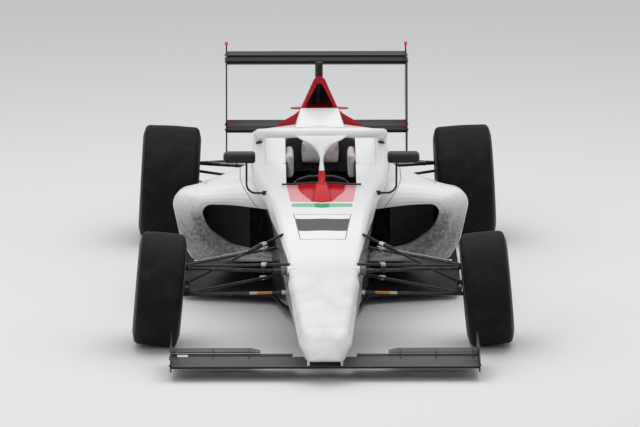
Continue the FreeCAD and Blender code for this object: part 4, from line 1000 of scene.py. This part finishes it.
def model_radiator_shroud(black):
    """Dark sheet round each radiator core, which closes the duct to the tub and to the pod's skin."""
    low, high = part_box("radiators")
    wide, tall = 0.1075, (high[2] - low[2]) / 2             # the core's halves
    lean = math.atan2(0.050, tall)
    sheet = add("plane", (0.335, 0.300, 1.0), size=1)
    bpy.ops.transform.translate(value=(-0.036, 0.004, 0))
    slices(0, (-wide, wide))
    slices(1, (-tall, tall))
    pick(sheet, lambda c, n: abs(c.x) < wide and abs(c.y) < tall)
    bpy.ops.mesh.delete(type="FACE")
    modify(sheet, "SOLIDIFY", thickness=0.005, offset=0)
    _, y, z = middle_of(low, high)
    place = moved(high[0] - wide, y, z) @ Matrix.Rotation(math.radians(90) + lean, 4, "X")
    finished(sheet, "radiator_shroud_left", black, bevel=0.0012, place=place)
    mirrored(sheet)


# ---- fasteners
def model_stud(name, material, radius=0.0075):
    """Quarter-turn fastener: a low dished head with its slot. Its z runs out of the panel."""
    slot = 0.16 * radius
    stud = rod(20, radius, 0.0030, 0.0002)
    steps(stud, (slot,), (slot, -0.0006))
    for place in (-slot, slot):
        pick(stud, lambda c, n: n.z > FACING and c.length < radius)
        bpy.ops.mesh.bisect(plane_co=(0, place, 0), plane_no=(0, 1, 0))
    pick(stud, lambda c, n: n.z > FACING and abs(c.y) < slot and abs(c.x) < 0.3 * radius and c.z < 0.0015)
    inset(0.00005, -0.0007)
    return finished(stud, name, material, bevel=0.0002, segments=1)


def model_bolt(name, material, radius=0.0055):
    """Cap head screw on its washer, with its hexagon socket."""
    bolt = rod(24, radius * 1.6, 0.0016, 0.0004)
    steps(bolt, (radius * 0.6,), (0.00001, 0.0040), (radius * 0.42,), (0.00001, -0.0022))
    return finished(bolt, name, material, bevel=0.0004)


DOWN, UP, INWARD = (0, 0, -1), (0, 0, 1), (-1, 0, 0)


def landed(*rows):
    """Axes where lines from each row's points first meet its node, on both sides of the car."""
    return both_sides([surface(node, at(*start), aim) for node, aim, starts in rows for start in starts])


def place_fasteners(steel, dark):
    """Studs along the edges of the body panels, and screws where the wings and the halo are fixed."""
    spread(model_stud("panel_stud", steel), "panel_stud", landed(
        ("engine_cover", INWARD, [(0.9, s, z) for s, z in (
            (1.700, 0.640), (1.900, 0.590), (2.120, 0.550), (2.340, 0.520), (2.560, 0.480))]),
        ("sidepod_left", DOWN, [(x, s, 1.2) for x, s in (
            (0.560, 1.190), (0.560, 1.440), (0.452, 1.720), (0.350, 2.060), (0.270, 2.330))]),
        ("sidepod_left", INWARD, [(1.2, 1.180, 0.240), (1.2, 1.480, 0.200), (1.2, 1.800, 0.170)]),
        ("roll_hoop_fairing", INWARD, [(0.6, 1.540, 0.795), (0.6, 1.630, 0.795)])))
    spread(model_stud("halo_mount_cap", dark, 0.017), "halo_mount_cap", landed(
        ("monocoque", DOWN, [(0.299, 1.350, 1.2)])))
    spread(model_bolt("screw", dark), "screw", landed(
        ("rear_wing_endplates", INWARD, [(0.8, s, z) for s, z in (
            (3.080, 0.856), (3.170, 0.856), (3.250, 0.862), (2.990, 0.518), (3.070, 0.532))]),
        ("front_wing_endplates", INWARD, [(0.9, s, z) for s, z in (
            (-0.820, 0.068), (-0.700, 0.076), (-0.630, 0.072), (-0.556, 0.084))]),
        ("floor", UP, [(0.640, s, -0.5) for s in (1.250, 1.500, 1.750, 2.000, 2.250)])))


# ---- wheels and lamps
def model_wheel_fittings(alloy, dark, rubber):
    """Ring and safety clip on each centre nut, the rim's drive screws and its valve."""
    for end, half_rim in (("front", 0.1015), ("rear", 0.133)):
        corner = JOINTS["wheel_%s_left_spin" % end]
        axle = frame_at(corner["pos_m"], corner["axis"])
        face = half_rim - 0.044
        body = "wheel_%s_left" % end
        ring = rod(36, 0.0345, 0.006, face + 0.004)
        steps(ring, (0.003,), (0.0008, -0.0015))
        finished(ring, "nut_ring_%s_left" % end, alloy, body, 0.0008, place=axle)
        cap = rod(28, 0.0165, 0.004, face + 0.0195)
        steps(cap, (0.003,), (0.002, -0.0025), (0.004,), (0.001, 0.0035))
        finished(cap, "nut_clip_%s_left" % end, alloy, body, 0.0005, place=axle)
        valve = rod(14, 0.0042, 0.006, 0.002)
        steps(valve, (0.0010,), (0.0001, 0.005))
        place = axle @ turned(18) @ moved(0, 0.151, half_rim - 0.015)
        finished(valve, "valve_%s_left" % end, rubber, body, 0.0004, place=place)
        twins = [ring, cap, valve]
        screw = model_bolt("rim_screw_%s_left_1" % end, dark, 0.0045)
        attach(screw, body)
        seat = moved(0, 0.0435, face)
        for number in range(1, 6):
            place = axle @ turned(60 * number + 30) @ seat
            twins.append(copied(screw, "rim_screw_%s_left_%d" % (end, number + 1), place, body))
        screw.data.transform(axle @ turned(30) @ seat)
        twins.append(screw)
        for twin in twins:
            mirrored(twin, body)


def model_rain_light_frame(black):
    """Frame round the rain light on the crash box."""
    rear_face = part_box("rear_crash_box")[1][1]
    frame_piece = block((0.092, 0.012, 0.092), (0, rear_face - 0.004, 0.300))
    steps(frame_piece, (0.006,), (0.001, -0.006), axis=1)
    finished(frame_piece, "rain_light_frame", black, bevel=0.0012, segments=3)


# ---- studio
LENS = 465.45                       # mm, on a sensor 36 mm wide
CAMERA_PLACE = (-0.4306, -39.7775, 7.7703)
CAMERA_TURN, CAMERA_TILT = math.radians(0.617), math.radians(10.479)


def stand(name, data, place, sight):
    """A lamp or the camera at its place, looking along sight."""
    holder = bpy.data.objects.new(name, data)
    bpy.context.scene.collection.objects.link(holder)
    holder.location = place
    holder.rotation_euler = sight.to_track_quat("-Z", "Y").to_euler()
    return holder


def studio():
    """Pale floor, soft overhead light and the long lens that looks down on the nose."""
    scene = bpy.context.scene
    floor = add("plane", size=60)
    use(floor)
    floor.name = "floor_sheet"
    pale = Finish("floor_pale", Roughness=0.9, Base_Color=(0.78, 0.78, 0.78, 1.0))
    floor.data.materials.append(pale.material)

    scene.world = bpy.data.worlds.new("studio_sky")
    scene.world.use_nodes = True
    sky = scene.world.node_tree.nodes["Background"].inputs
    sky["Color"].default_value = (0.95, 0.97, 1.0, 1.0)
    sky["Strength"].default_value = 0.62
    for name, place, target, size, energy in (
            ("overhead", (0, 0.5, 6.5), (0, 0, 0), (7.0, 9.0), 260),
            ("front_fill", (-3.5, -8.0, 4.0), (0, -0.5, 0.4), (4.0, 3.0), 90)):
        lamp = bpy.data.lights.new(name, "AREA")
        lamp.shape = "RECTANGLE"
        lamp.size, lamp.size_y = size
        lamp.energy = energy
        stand(name, lamp, place, Vector(target) - Vector(place))

    camera = bpy.data.cameras.new("camera")
    camera.sensor_width = 36.0
    camera.lens = LENS
    camera.clip_start, camera.clip_end = 1.0, 200.0
    level = math.cos(CAMERA_TILT)
    sight = Vector((math.sin(CAMERA_TURN) * level, math.cos(CAMERA_TURN) * level, -math.sin(CAMERA_TILT)))
    scene.camera = stand("camera", camera, CAMERA_PLACE, sight)
    scene.view_settings.view_transform = "Standard"


def model_details():
    """Makes the small finishes and models every piece that rides on the CAD nodes."""
    black = satin_black("fitting_black", (0.018, 0.018, 0.019), 0.42)
    rubber = plain("button_rubber", (0.03, 0.03, 0.03), 0.6)
    red = plain("control_red", (0.45, 0.02, 0.02), 0.35)
    alloy = metal("machined_alloy", (0.62, 0.63, 0.65), 0.28)
    steel = metal("fitting_steel", (0.50, 0.50, 0.51), 0.25)
    model_display(black, plain("screen_glass", (0.012, 0.015, 0.018), 0.08, relief=0.00001))
    model_controls(rubber, red, plain("control_blue", (0.02, 0.08, 0.40), 0.35), alloy)
    model_grips(plain("grip_suede", (0.05, 0.05, 0.052), 0.85, grain=900.0, relief=0.0003), black)
    model_harness(webbing("harness_webbing", (0.05, 0.05, 0.055)), steel, red)
    model_headrest_pads(pad_cloth("pad_cloth"))
    model_mirror_glass(plain("mirror_silver", (0.80, 0.81, 0.82), 0.02, 1.0, relief=0.00001))
    model_leg_clamps(alloy)
    model_rod_nuts(black)
    model_brake_lines(steel, black)
    model_radiator_shroud(black)
    model_rack_blisters(body_paint("blister_paint", base=blister_colours))
    place_fasteners(steel, black)
    model_wheel_fittings(alloy, black, rubber)
    model_rain_light_frame(black)


studio()
paint_nodes()
model_details()
